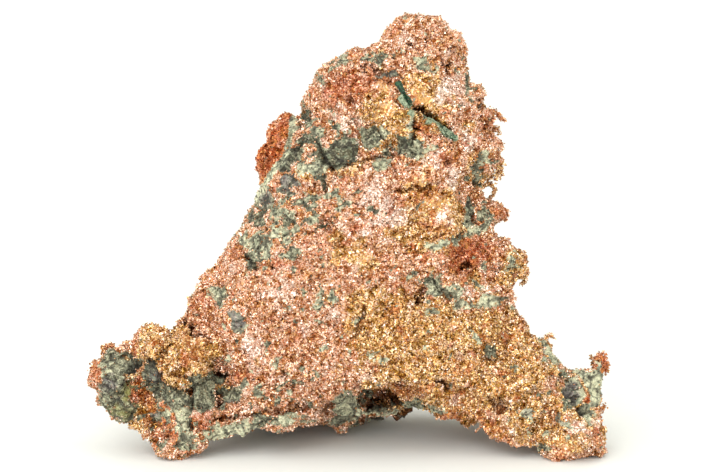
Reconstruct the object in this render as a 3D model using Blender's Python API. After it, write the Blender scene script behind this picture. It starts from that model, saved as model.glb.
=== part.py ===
"""A native copper nugget, about 87 mm wide and 73 mm tall, grown as one piece with grey-green basalt.

It stands on a left foot, a right foot and a heel behind, with a low arch in front between the feet.
The front faces -Y and +Z is up. The origin is under the middle of the nugget, on the resting plane.
Sizes are in millimetres, and MM turns them into Blender's metres.
"""

import math
import random

import bmesh
import bpy
from mathutils import Matrix, Vector, noise

MM = 0.001

# Driving dimensions
SECTION_POINTS = 56
SECTION_SQUARENESS = 2.5  # 2 is an ellipse; more is boxier
CLUMP_VOXEL = 0.7
SKIN_VOXEL = 0.6
TRIANGLE_TARGET = 9700
NODE_NAME = "copper_nugget"

# Level lines of the main mass: height, left, right, front, back
BODY_LEVELS = (
    (2.8, -23.0, 31.0, -6.0, 14.0),
    (7.0, -27.5, 36.0, -12.0, 18.5),
    (13.0, -29.0, 35.0, -14.5, 20.0),
    (20.0, -27.5, 29.5, -15.0, 19.5),
    (25.0, -25.0, 26.5, -14.5, 18.0),
    (30.0, -22.1, 24.0, -14.0, 17.0),
    (37.0, -18.8, 22.2, -13.0, 15.0),
    (45.0, -14.2, 22.5, -11.5, 13.5),
    (52.0, -10.0, 23.0, -10.0, 12.0),
    (58.0, -8.0, 20.8, -8.5, 10.5),
    (64.0, -4.2, 18.8, -7.0, 8.5),
    (69.4, 5.2, 18.6, -5.5, 6.5),
    (73.2, 8.8, 15.6, -3.0, 3.0),
)

# Rounded copper masses on the body: centre x, y, z, then radii x, y, z, then lean about Y in degrees
NODULES = {
    "left_dome": (-28.2, -9.0, 16.2, 6.8, 7.5, 6.2, 10),
    "left_dome_crest": (-32.4, -6.0, 18.0, 3.6, 5.5, 3.2, 0),
    "left_knob": (-40.2, -4.0, 16.7, 1.6, 2.0, 2.4, 10),
    "left_knob_inner": (-37.0, -4.0, 14.6, 2.3, 2.6, 2.1, 0),
    "left_rim": (-26.2, -9.0, 4.6, 6.0, 6.5, 4.2, 14),
    "left_toe": (-29.0, -10.0, 1.2, 3.6, 5.0, 2.8, 0),
    "left_bridge": (-17.0, -6.0, 7.4, 8.0, 6.0, 3.6, 0),
    "right_calf": (29.5, -7.5, 11.0, 8.5, 7.5, 7.6, 35),
    "right_shin": (26.5, -9.0, 6.6, 8.0, 5.5, 4.4, 20),
    "right_toe": (37.2, -10.0, 3.2, 6.6, 6.4, 4.4, 4),
    "right_toe_corner": (41.8, -11.0, 2.6, 2.3, 4.0, 3.8, 0),
    "right_toe_back": (34.5, -1.0, 3.6, 6.0, 6.5, 4.6, 0),
    "right_horn": (42.8, -5.0, 14.9, 1.4, 1.7, 2.4, -8),
    "right_crest": (38.0, -4.5, 12.5, 2.5, 2.8, 1.5, -15),
    "heel": (-8.0, 14.5, 4.0, 13.5, 6.8, 6.0, 0),
    "heel_inner": (-1.0, 11.5, 3.0, 6.0, 4.5, 4.5, 0),
    "back_shoulder": (-2.0, 13.0, 24.0, 12.0, 6.5, 11.0, 20),
    "back_crest": (13.0, 9.0, 44.0, 7.0, 5.5, 12.0, 10),
    "red_lobe": (-12.2, 4.5, 50.8, 2.8, 4.6, 5.6, 26),
    "red_lobe_foot": (-14.0, 4.0, 47.8, 2.1, 3.6, 3.2, 28),
    "summit": (13.3, -0.5, 70.4, 4.3, 4.2, 3.6, 0),
    "summit_right": (17.6, -1.0, 66.8, 3.0, 4.2, 3.8, 0),
    "brow_left": (0.0, -1.0, 63.9, 4.6, 5.4, 3.0, -35),
    "right_brow": (20.4, -1.0, 57.2, 3.2, 4.6, 4.0, 35),
    "right_spur": (24.0, -1.0, 56.4, 3.1, 2.4, 1.8, 48),
    "right_spur_tip": (26.0, -1.0, 55.2, 1.8, 1.7, 1.1, 30),
    "right_cheek": (22.6, -1.5, 49.4, 2.7, 4.2, 4.6, 0),
    "right_cheek_tip": (24.9, -1.8, 47.4, 1.6, 2.2, 2.9, -6),
    "right_knuckle": (24.2, -2.0, 40.0, 3.2, 3.8, 2.7, 0),
    "right_neck": (22.4, -2.0, 36.0, 2.5, 3.8, 2.6, 0),
    "right_flap": (25.2, -2.0, 32.4, 4.4, 4.4, 3.0, 10),
    "right_curl": (29.7, -2.5, 30.5, 1.6, 2.4, 3.4, 4),
    "right_shelf": (24.7, -4.0, 27.0, 3.6, 4.4, 2.7, 10),
    "right_step": (29.6, -3.5, 21.2, 2.8, 4.2, 2.6, 35),
    "right_step_tip": (33.4, -3.5, 18.2, 2.3, 1.9, 1.1, -8),
    "left_bead_low": (-27.7, -3.5, 21.7, 2.5, 3.4, 2.1, 0),
    "left_bead_mid": (-26.2, -3.0, 25.2, 1.6, 2.8, 1.6, 0),
    "left_bead_high": (-23.8, -2.5, 27.2, 1.5, 2.8, 1.5, 0),
}

# Angular basalt grown into the copper, with the same numbers
STONES = {
    "left_stone_end": (-37.6, -5.5, 10.6, 5.8, 7.5, 6.4, -15),
    "left_stone_tip": (-42.4, -3.5, 12.6, 2.4, 4.6, 3.8, 0),
    "left_stone_shelf": (-24.6, -10.0, 9.2, 8.4, 6.0, 4.8, 0),
    "left_stone_sole": (-33.0, -6.0, 6.8, 5.6, 6.0, 4.0, 20),
    "right_stone": (39.0, -5.5, 8.8, 4.7, 5.6, 5.8, 0),
    "right_stone_shoulder": (34.2, -3.5, 14.0, 3.4, 4.6, 3.0, 45),
    "shoulder_stone": (-4.5, -3.5, 52.5, 8.0, 5.8, 5.2, 8),
    "arch_stone": (-2.0, 2.0, 6.2, 6.4, 7.0, 5.6, 0),
    "arch_stone_right": (11.5, 4.0, 9.0, 6.0, 6.0, 4.0, 0),
    "back_stone_high": (6.0, 8.5, 56.0, 5.5, 4.0, 5.5, 20),
    "back_stone_low": (18.0, 14.0, 16.0, 9.0, 6.0, 7.5, -20),
    "back_stone_left": (-17.0, 9.0, 17.0, 8.0, 6.5, 8.0, 30),
}
STONE_CORNERS = 26
STONE_REACH = (0.92, 1.12)  # how far out its corners stand, as a share of the radii

# Rows of small copper beads along the ragged edges: start, end, how many, bead radius
EDGE_BEADS = {
    "right_upper": ((18.5, -1.0, 63.0), (23.8, -1.0, 53.0), 7, 1.0),
    "right_middle": ((24.2, -1.5, 52.0), (23.2, -2.0, 43.5), 7, 1.1),
    "right_shelf_edge": ((25.6, -4.0, 27.5), (34.9, -3.5, 16.0), 11, 0.9),
    "right_foot_edge": ((41.8, -6.0, 12.0), (42.4, -9.0, 1.8), 6, 0.9),
    "summit_left": ((6.5, -1.0, 69.0), (6.0, -0.5, 65.5), 4, 0.9),
    "brow_edge": ((4.4, 0.0, 66.6), (-7.6, 0.0, 57.0), 12, 0.9),
    "left_edge_low": ((-21.8, -2.0, 29.5), (-30.8, -4.0, 19.5), 11, 1.0),
    "heel_edge": ((-20.0, 15.0, 9.0), (4.0, 18.5, 8.0), 12, 1.2),
    "back_ridge": ((-14.0, 13.5, 30.0), (2.0, 11.0, 58.0), 13, 1.2),
    "left_dome_edge": ((-30.5, -6.0, 21.6), (-37.0, -5.5, 17.8), 7, 0.9),
    "left_end_edge": ((-40.0, -4.0, 16.8), (-42.4, -4.0, 10.0), 6, 1.0),
    "left_sole_edge": ((-39.6, -7.0, 6.8), (-32.5, -11.0, 3.2), 7, 0.9),
    "lip_left": ((-14.0, -11.5, 5.0), (-4.0, -12.5, 8.6), 7, 0.9),
    "lip_middle": ((-4.0, -12.5, 9.6), (2.0, -13.0, 12.4), 5, 0.9),
    "lip_top": ((2.0, -13.0, 12.6), (13.0, -13.0, 12.6), 8, 0.8),
    "lip_right": ((13.0, -13.0, 12.2), (18.0, -12.5, 6.0), 6, 0.9),
    "right_hem": ((20.4, -10.5, 4.4), (31.0, -12.5, 1.4), 12, 1.1),
    "arch_hem": ((2.0, 4.0, 3.6), (17.0, 0.0, 5.4), 10, 1.0),
    "left_hem": ((-24.0, -11.5, 4.2), (-13.0, -9.0, 5.6), 8, 0.8),
}
BEAD_SCATTER = 0.8
BEAD_SIZES = (0.8, 1.35)

# The hollows between the feet: centre x, y, z and radii x, y, z
ARCH = {
    "underside": (0.0, -14.0, -1.0, 22.0, 22.0, 5.6),
    "recess": (6.0, -16.0, -0.5, 13.6, 15.0, 13.6),
    "rear": (15.0, 10.0, -1.0, 10.0, 22.0, 8.2),
}
UNDERCUTS = {
    "cave": (5.4, -1.5, 7.8, 3.4, 7.0, 2.2),
    "left_instep": (-14.5, -12.0, -1.0, 10.5, 16.0, 4.2),
}

# Flat breaks: a point on the face, its outward normal, in millimetres
BREAKS = {
    "left_edge": ((-14.6, 0.0, 45.0), (-0.85, -0.22, 0.47)),
    "left_back": ((-15.0, 10.0, 40.0), (-0.72, 0.58, 0.36)),
    "back_plane": ((4.0, 15.5, 38.0), (0.12, 0.95, 0.30)),
}

# Dents and swellings of the front, then of the back:
# x, z, half width, half height, lean in degrees, depth (minus stands proud)
FRONT_RELIEF = {
    "stone_hollow": (-5.5, 54.5, 9.0, 3.6, 6, 1.5),
    "stone_hollow_right": (4.5, 52.5, 6.0, 3.0, 0, 1.2),
    "lower_sheet_lip": (1.0, 48.0, 13.0, 2.2, 8, -0.9),
    "crystal_slot_upper": (9.2, 62.6, 1.5, 3.6, -22, 1.5),
    "crystal_slot_lower": (15.0, 57.0, 1.4, 5.4, -52, 1.8),
    "crystal_rib": (13.4, 55.4, 1.2, 5.0, -52, -0.9),
    "right_seam": (20.6, 42.5, 1.5, 9.0, -6, 1.6),
    "red_cavity": (19.8, 33.4, 3.0, 1.6, 10, 2.6),
    "knee_slot": (13.0, 29.2, 1.2, 2.2, -12, 2.4),
    "knee_stone": (18.5, 28.0, 5.5, 2.2, -12, -1.3),
    "ring_pit": (24.8, 17.6, 2.1, 2.1, 0, 1.8),
    "dome_groove": (-22.0, 15.0, 1.6, 7.5, 28, 2.8),
    "dome_under": (-27.0, 11.5, 8.0, 1.4, -8, 1.8),
    "shelf_crack": (-27.2, 8.0, 0.9, 3.0, 8, 1.4),
    "belly": (-6.0, 31.0, 15.0, 15.0, 0, -0.8),
    "waist": (8.0, 41.5, 8.0, 3.0, -10, 1.0),
    "right_face_hollow": (14.0, 20.0, 8.0, 5.0, 20, 1.0),
    "bottom_left_hollow": (-15.0, 8.5, 5.0, 3.0, 0, 0.9),
}
BACK_RELIEF = {
    "gully": (9.0, 32.0, 2.6, 17.0, 16, 2.8),
    "gully_foot": (4.0, 12.0, 3.4, 6.0, -10, 2.0),
    "high_ledge": (2.0, 50.0, 12.0, 1.8, -14, -1.6),
    "middle_ledge": (-6.0, 35.0, 11.0, 2.0, -16, -1.8),
    "low_ledge": (18.0, 21.0, 10.0, 1.9, 22, -1.8),
    "left_pocket": (-12.0, 24.0, 5.0, 4.0, 20, 2.8),
    "right_pocket": (22.0, 12.0, 5.0, 4.0, -15, 2.6),
    "high_pocket": (13.0, 60.0, 3.0, 4.0, 10, 2.0),
    "heel_ledge": (-8.0, 12.0, 11.0, 1.8, 6, -1.6),
}
RELIEF_REACH, RELIEF_FALL = 2.0, 1.6

# Relief over the whole surface: the size of a feature, then its height
NODULE_SWELLS = ((4.5, 0.22), (1.9, 0.12))  # these heights are shares of the nodule's radius
ROUGHNESS = ((13.0, 1.3), (6.0, 1.2))
GRAIN_LUMP_SIZE, GRAIN_LUMP_HEIGHT = 3.8, 1.5
GRAIN_LUMP_EDGE = 0.5  # how far from its border a lump is round; flat beyond
HACKLE_SIZE, HACKLE_HEIGHT = 2.2, 0.8
RELIEF_SINK = 0.6  # brings the roughened skin back to the stated outline
PIT_COUNT, PIT_RADIUS, PIT_DEPTH = 70, 1.7, 1.9
PIT_SIZES = (0.6, 1.5)
SEED = 29


def clear_scene():
    for obj in list(bpy.data.objects):
        bpy.data.objects.remove(obj)


def link(name, mesh):
    obj = bpy.data.objects.new(name, mesh)
    bpy.context.scene.collection.objects.link(obj)
    return obj


def settle(obj):
    """Replaces the object's mesh by what its modifiers make of it."""
    graph = bpy.context.evaluated_depsgraph_get()
    made = bpy.data.meshes.new_from_object(obj.evaluated_get(graph))
    obj.modifiers.clear()
    obj.data = made


def signed_power(value, power):
    return math.copysign(abs(value) ** power, value)


def level_line(height, left, right, front, back):
    """Points of one level line: a superellipse whose front and back have their own depths."""
    points = []
    for i in range(SECTION_POINTS):
        turn = 2 * math.pi * i / SECTION_POINTS
        across = signed_power(math.cos(turn), 2 / SECTION_SQUARENESS)
        along = signed_power(math.sin(turn), 2 / SECTION_SQUARENESS)
        x = (left + right) / 2 + across * (right - left) / 2
        y = along * (back if along > 0 else -front)
        points.append(Vector((x, y, height)) * MM)
    return points


def loft_body(bm):
    """The main mass, skinned over its level lines and closed at both ends."""
    rings = [[bm.verts.new(p) for p in level_line(*level)] for level in BODY_LEVELS]
    for low, high in zip(rings, rings[1:]):
        for i in range(SECTION_POINTS):
            j = (i + 1) % SECTION_POINTS
            bm.faces.new((low[i], low[j], high[j], high[i]))
    bm.faces.new(list(reversed(rings[0])))
    bm.faces.new(rings[-1])


def placed(x, y, z, rx, ry, rz, lean=0.0):
    """The matrix that stretches a unit ball to these radii, leans it about Y and sets it in place."""
    place = Matrix.Translation(Vector((x, y, z)) * MM)
    place @= Matrix.Rotation(math.radians(lean), 4, "Y")
    return place @ Matrix.Diagonal(Vector((rx, ry, rz, 1 / MM)) * MM)


def ellipsoid(bm, shape):
    made = bmesh.ops.create_icosphere(bm, subdivisions=4, radius=1.0, matrix=placed(*shape))
    return made["verts"]


def nodule(bm, shape):
    """A rounded but uneven mass."""
    centre = Vector(shape[:3]) * MM
    for vertex in ellipsoid(bm, shape):
        spoke = vertex.co - centre
        swell = sum(share * noise.noise(vertex.co / MM / size) for size, share in NODULE_SWELLS)
        vertex.co = centre + spoke * (1 + swell)


def stone(bm, shape, rng):
    """An angular mass: the convex hull of a few corners thrown over an ellipsoid."""
    place = placed(*shape)
    corners = []
    for _ in range(STONE_CORNERS):
        spoke = Vector([rng.gauss(0, 1) for _ in range(3)]).normalized()
        corners.append(bm.verts.new(place @ (spoke * rng.uniform(*STONE_REACH))))
    made = bmesh.ops.convex_hull(bm, input=corners)
    unused = [v for v in made["geom_interior"] if isinstance(v, bmesh.types.BMVert)]
    bmesh.ops.delete(bm, geom=unused, context="VERTS")


def bead_row(bm, start, end, count, radius, rng):
    """Small beads thrown along a ragged edge, each a little off the line."""
    for i in range(count):
        middle = Vector(start).lerp(Vector(end), (i + 0.5) / count)
        middle += Vector([rng.uniform(-BEAD_SCATTER, BEAD_SCATTER) for _ in range(3)])
        size = radius * rng.uniform(*BEAD_SIZES)
        bead = (*middle, size, size * rng.uniform(1.0, 1.8), size * rng.uniform(0.8, 1.2))
        bmesh.ops.create_icosphere(bm, subdivisions=2, radius=1.0, matrix=placed(*bead))


def break_flat(bm, point, normal):
    """Breaks the mass off along a plane and closes the break."""
    plane = Vector(point) * MM
    everything = bm.verts[:] + bm.edges[:] + bm.faces[:]
    cut = bmesh.ops.bisect_plane(
        bm, geom=everything, dist=1e-7, plane_co=plane, plane_no=Vector(normal).normalized(), clear_outer=True
    )
    rim = [e for e in cut["geom_cut"] if isinstance(e, bmesh.types.BMEdge)]
    bmesh.ops.holes_fill(bm, edges=rim, sides=0)


def hollow(obj, name, shape):
    """Cuts an ellipsoid hollow out of the mass."""
    bm = bmesh.new()
    ellipsoid(bm, shape)
    mesh = bpy.data.meshes.new(name)
    bm.to_mesh(mesh)
    bm.free()
    cutter = link(name, mesh)
    cutter.hide_render = True
    cutter.display_type = "WIRE"
    cut = obj.modifiers.new(name, "BOOLEAN")
    cut.operation = "DIFFERENCE"
    cut.object = cutter
    settle(obj)
    bpy.data.objects.remove(cutter)


def remesh(obj, voxel):
    skin = obj.modifiers.new("skin", "REMESH")
    skin.mode = "VOXEL"
    skin.voxel_size = voxel * MM
    settle(obj)


def move_along_normals(obj, amount):
    """Moves each point along its normal by amount(point, normal), in millimetres."""
    mesh = obj.data
    places = [v.co.copy() for v in mesh.vertices]
    normals = [v.normal.copy() for v in mesh.vertices]
    for vertex, place, normal in zip(mesh.vertices, places, normals):
        vertex.co = place + normal * (amount(place / MM, normal) * MM)
    mesh.update()


def placed_relief(point, normal):
    """Dents and swellings that belong to places on the front and the back."""
    if abs(normal.y) < 0.1:
        return 0.0
    features = FRONT_RELIEF if normal.y < 0 else BACK_RELIEF
    total = 0.0
    for x, z, half_width, half_height, lean, depth in features.values():
        dx, dz = point.x - x, point.z - z
        turn = math.radians(lean)
        across = (dx * math.cos(turn) + dz * math.sin(turn)) / half_width
        up = (dz * math.cos(turn) - dx * math.sin(turn)) / half_height
        apart = across * across + up * up
        if apart < RELIEF_REACH:
            total -= depth * math.exp(-RELIEF_FALL * apart)
    return total


def rough_relief(point, _normal):
    """Rolling lumps, rounded nodules and sharp hackles that cover the whole nugget."""
    total = -RELIEF_SINK
    for size, height in ROUGHNESS:
        total += height * noise.noise(point / size)
    near, far = noise.voronoi(point / GRAIN_LUMP_SIZE)[0][:2]
    total += GRAIN_LUMP_HEIGHT * (min(far - near, GRAIN_LUMP_EDGE) - GRAIN_LUMP_EDGE / 2)
    total += HACKLE_HEIGHT * (0.5 - 2 * abs(noise.noise(point / HACKLE_SIZE)))
    return total


def pitted(obj):
    """Sinks small pits here and there over the whole skin."""
    rng = random.Random(SEED)
    points = [v.co / MM for v in obj.data.vertices]
    pits = [points[rng.randrange(len(points))] for _ in range(PIT_COUNT)]
    sizes = [PIT_RADIUS * rng.uniform(*PIT_SIZES) for _ in pits]

    def pit_relief(point, _normal):
        total = 0.0
        for pit, radius in zip(pits, sizes):
            apart = (point - pit).length / radius
            if apart < 1:
                total -= PIT_DEPTH * (radius / PIT_RADIUS) * (1 - apart * apart) ** 2
        return total

    move_along_normals(obj, pit_relief)


def copper_material():
    material = bpy.data.materials.new("native_copper")
    material.use_nodes = True
    shader = material.node_tree.nodes["Principled BSDF"]
    shader.inputs["Base Color"].default_value = (0.72, 0.36, 0.20, 1.0)
    shader.inputs["Metallic"].default_value = 0.9
    shader.inputs["Roughness"].default_value = 0.42
    return material


def clump():
    """The broken body with its lumps, as one closed skin."""
    bm = bmesh.new()
    loft_body(bm)
    for point, normal in BREAKS.values():
        break_flat(bm, point, normal)
    mesh = bpy.data.meshes.new(NODE_NAME)
    bm.to_mesh(mesh)
    bm.free()
    obj = link(NODE_NAME, mesh)
    for name, shape in ARCH.items():
        hollow(obj, name, shape)

    bm = bmesh.new()
    bm.from_mesh(obj.data)
    rng = random.Random(SEED)
    for shape in NODULES.values():
        nodule(bm, shape)
    for shape in STONES.values():
        stone(bm, shape, rng)
    for run in EDGE_BEADS.values():
        bead_row(bm, *run, rng)
    bm.to_mesh(obj.data)
    bm.free()
    remesh(obj, CLUMP_VOXEL)
    return obj


def island(start):
    """Every vertex that edges join to this one."""
    found = {start}
    waiting = [start]
    while waiting:
        for edge in waiting.pop().link_edges:
            for vertex in edge.verts:
                if vertex not in found:
                    found.add(vertex)
                    waiting.append(vertex)
    return found


def keep_outer_skin(obj):
    """Leaves out sealed bubbles and specks: only the largest skin stays."""
    bm = bmesh.new()
    bm.from_mesh(obj.data)
    skins = []
    left = set(bm.verts)
    while left:
        skins.append(island(next(iter(left))))
        left -= skins[-1]
    skins.sort(key=len)
    bubbles = [vertex for skin in skins[:-1] for vertex in skin]
    bmesh.ops.delete(bm, geom=bubbles, context="VERTS")
    bm.to_mesh(obj.data)
    bm.free()


def rest_flat(obj):
    """Flattens the feet and the heel where the nugget rests, on z = 0."""
    bm = bmesh.new()
    bm.from_mesh(obj.data)
    break_flat(bm, (0.0, 0.0, 0.0), (0.0, 0.0, -1.0))
    bmesh.ops.triangulate(bm, faces=bm.faces[:])
    bm.to_mesh(obj.data)
    bm.free()


def centre_on_origin(obj):
    """Moves the nugget so that the middle of its outline stands over the origin."""
    corners = [Vector(c) for c in obj.bound_box]
    middle = (Vector(map(min, *corners)) + Vector(map(max, *corners))) / 2
    obj.data.transform(Matrix.Translation((-middle.x, -middle.y, 0.0)))


def main():
    clear_scene()
    nugget = clump()
    for name, shape in UNDERCUTS.items():
        hollow(nugget, name, shape)
    move_along_normals(nugget, placed_relief)
    move_along_normals(nugget, rough_relief)
    pitted(nugget)
    remesh(nugget, SKIN_VOXEL)
    fewer = nugget.modifiers.new("fewer", "DECIMATE")
    fewer.ratio = TRIANGLE_TARGET / (2 * len(nugget.data.polygons))
    settle(nugget)
    rest_flat(nugget)
    keep_outer_skin(nugget)
    centre_on_origin(nugget)
    nugget.data.shade_smooth()
    nugget.data.materials.append(copper_material())


main()
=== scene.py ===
"""A native copper nugget grown through grey-green basalt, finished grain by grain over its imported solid.

The solid gives the size, the lumps, the ledges, the arch and the way the nugget stands. This script lays a
finer skin over it, splits that skin into copper and basalt, scatters the copper grains and the basalt crumbs,
adds the hooks along the ragged edges and the green crystals, and sets up a plain studio.
"""

import math

import bmesh
import bpy
import numpy as np
from mathutils import Matrix, Vector, noise
from mathutils.bvhtree import BVHTree


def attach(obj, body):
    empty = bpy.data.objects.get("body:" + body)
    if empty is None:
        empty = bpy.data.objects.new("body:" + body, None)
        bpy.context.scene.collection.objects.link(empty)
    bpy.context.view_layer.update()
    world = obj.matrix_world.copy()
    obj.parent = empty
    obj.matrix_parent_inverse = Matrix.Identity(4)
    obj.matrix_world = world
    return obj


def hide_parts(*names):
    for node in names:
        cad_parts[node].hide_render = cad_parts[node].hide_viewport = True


bl_info = {
    "name": "Native Copper Nugget",
    "version": (1, 0, 0),
    "blender": (4, 5, 0),
    "location": "3D Viewport > Sidebar > Nugget",
    "description": "Finishes a native copper nugget over its packed solid and sets up the studio",
    "category": "Add Mesh",
}

MM = 0.001
NODE = "copper_nugget"
BODY = "root"
SKIN = "nugget_skin"
SPLIT = 2.0  # the y, in millimetres, where the front half of the skin meets the back half

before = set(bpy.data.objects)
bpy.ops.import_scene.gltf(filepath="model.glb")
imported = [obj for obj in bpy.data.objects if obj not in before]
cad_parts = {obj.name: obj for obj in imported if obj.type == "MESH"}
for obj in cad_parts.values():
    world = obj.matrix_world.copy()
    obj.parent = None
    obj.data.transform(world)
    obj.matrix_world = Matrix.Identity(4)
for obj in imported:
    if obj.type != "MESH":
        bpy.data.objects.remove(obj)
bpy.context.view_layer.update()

# The camera, in millimetres and degrees
CAMERA_TARGET = (1.37, 0.0, 34.96)
CAMERA_DISTANCE = 400.0
CAMERA_ELEVATION = 10.0
CAMERA_LENS = 120.0
SENSOR_WIDTH = 36.0

# Where the wide lights overhead and in front come from, and the strips at the sides, in metres
CEILING_FROM = (-0.28, -0.20, 1.0)
FRONT_FROM = (-0.20, -1.0, 0.45)
STRIP_ASIDE, STRIP_FORWARD, STRIP_HEIGHT = 0.55, -0.25, 0.30
STRIP_SIZE = (0.12, 0.45)

# Colours of the basalt's own specks and stains, of the painted shade deep in its pits and joints, of the
# crystals, of the floor's paper and of the room's light
LILAC_STONE = (0.24, 0.19, 0.21, 1)
GREEN_STONE = (0.22, 0.28, 0.19, 1)
BLACK_SPECK = (0.030, 0.026, 0.018, 1)
YELLOW_STAIN = (0.36, 0.33, 0.08, 1)
DEEP_STONE = (0.018, 0.013, 0.008, 1)
CRYSTAL_BLACK = (0.005, 0.014, 0.007, 1)
CRYSTAL_GREEN = (0.035, 0.105, 0.050, 1)
CRYSTAL_DUST = (0.34, 0.40, 0.27, 1)
PAPER = (0.79, 0.79, 0.78, 1)
PAPER_FIBRE = (0.81, 0.81, 0.80, 1)
ROOM_COLOUR = (0.97, 1.0, 0.88, 1)

# How far apart the knots of copper and the blocks of basalt stand, in millimetres
KNOT_SPACING = 1.25
BLOCK_SPACING = 2.1

# Clouds of noise that shape the skin and break up its zones: their size in millimetres, and a shift that sets
# each one apart
RELIEF_CLOUDS = {
    "lumps": (3.0, 3.0),
    "hackles": (1.1, 9.0),
    "grit": (0.6, 21.0),
}
ZONE_CLOUDS = {
    "bend_across": (2.2, 0.0),
    "bend_up": (2.2, 31.0),
    "fray_across": (0.9, 5.0),
    "fray_up": (0.9, 47.0),
    "fine": (0.9, 77.0),
    "spots": (1.5, 37.0),
    "mosaic": (3.6, 101.0),
    "mosaic_fine": (1.7, 113.0),
    "pale_mosaic": (4.2, 131.0),
    "pale_mosaic_fine": (1.5, 137.0),
    "broad": (11.0, 13.0),
    "broad_fine": (5.0, 19.0),
    "sides": (14.0, 57.0),
    "hidden_tone": (6.0, 91.0),
    "hidden_smooth": (4.0, 63.0),
    "hidden_lilac": (5.0, 83.0),
    "hidden_dents": (3.2, 23.0),
}

# The sheet's own place for what stands in the middle of the view
SHEET_MIDDLE = (1.2, 34.76)

# Places on the front are given as seen from the camera, on an upright sheet through the nugget's middle:
# across from the middle, up from the foot, half width, half height, lean in degrees (anticlockwise), then a
# value. All sizes are in millimetres.

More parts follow.
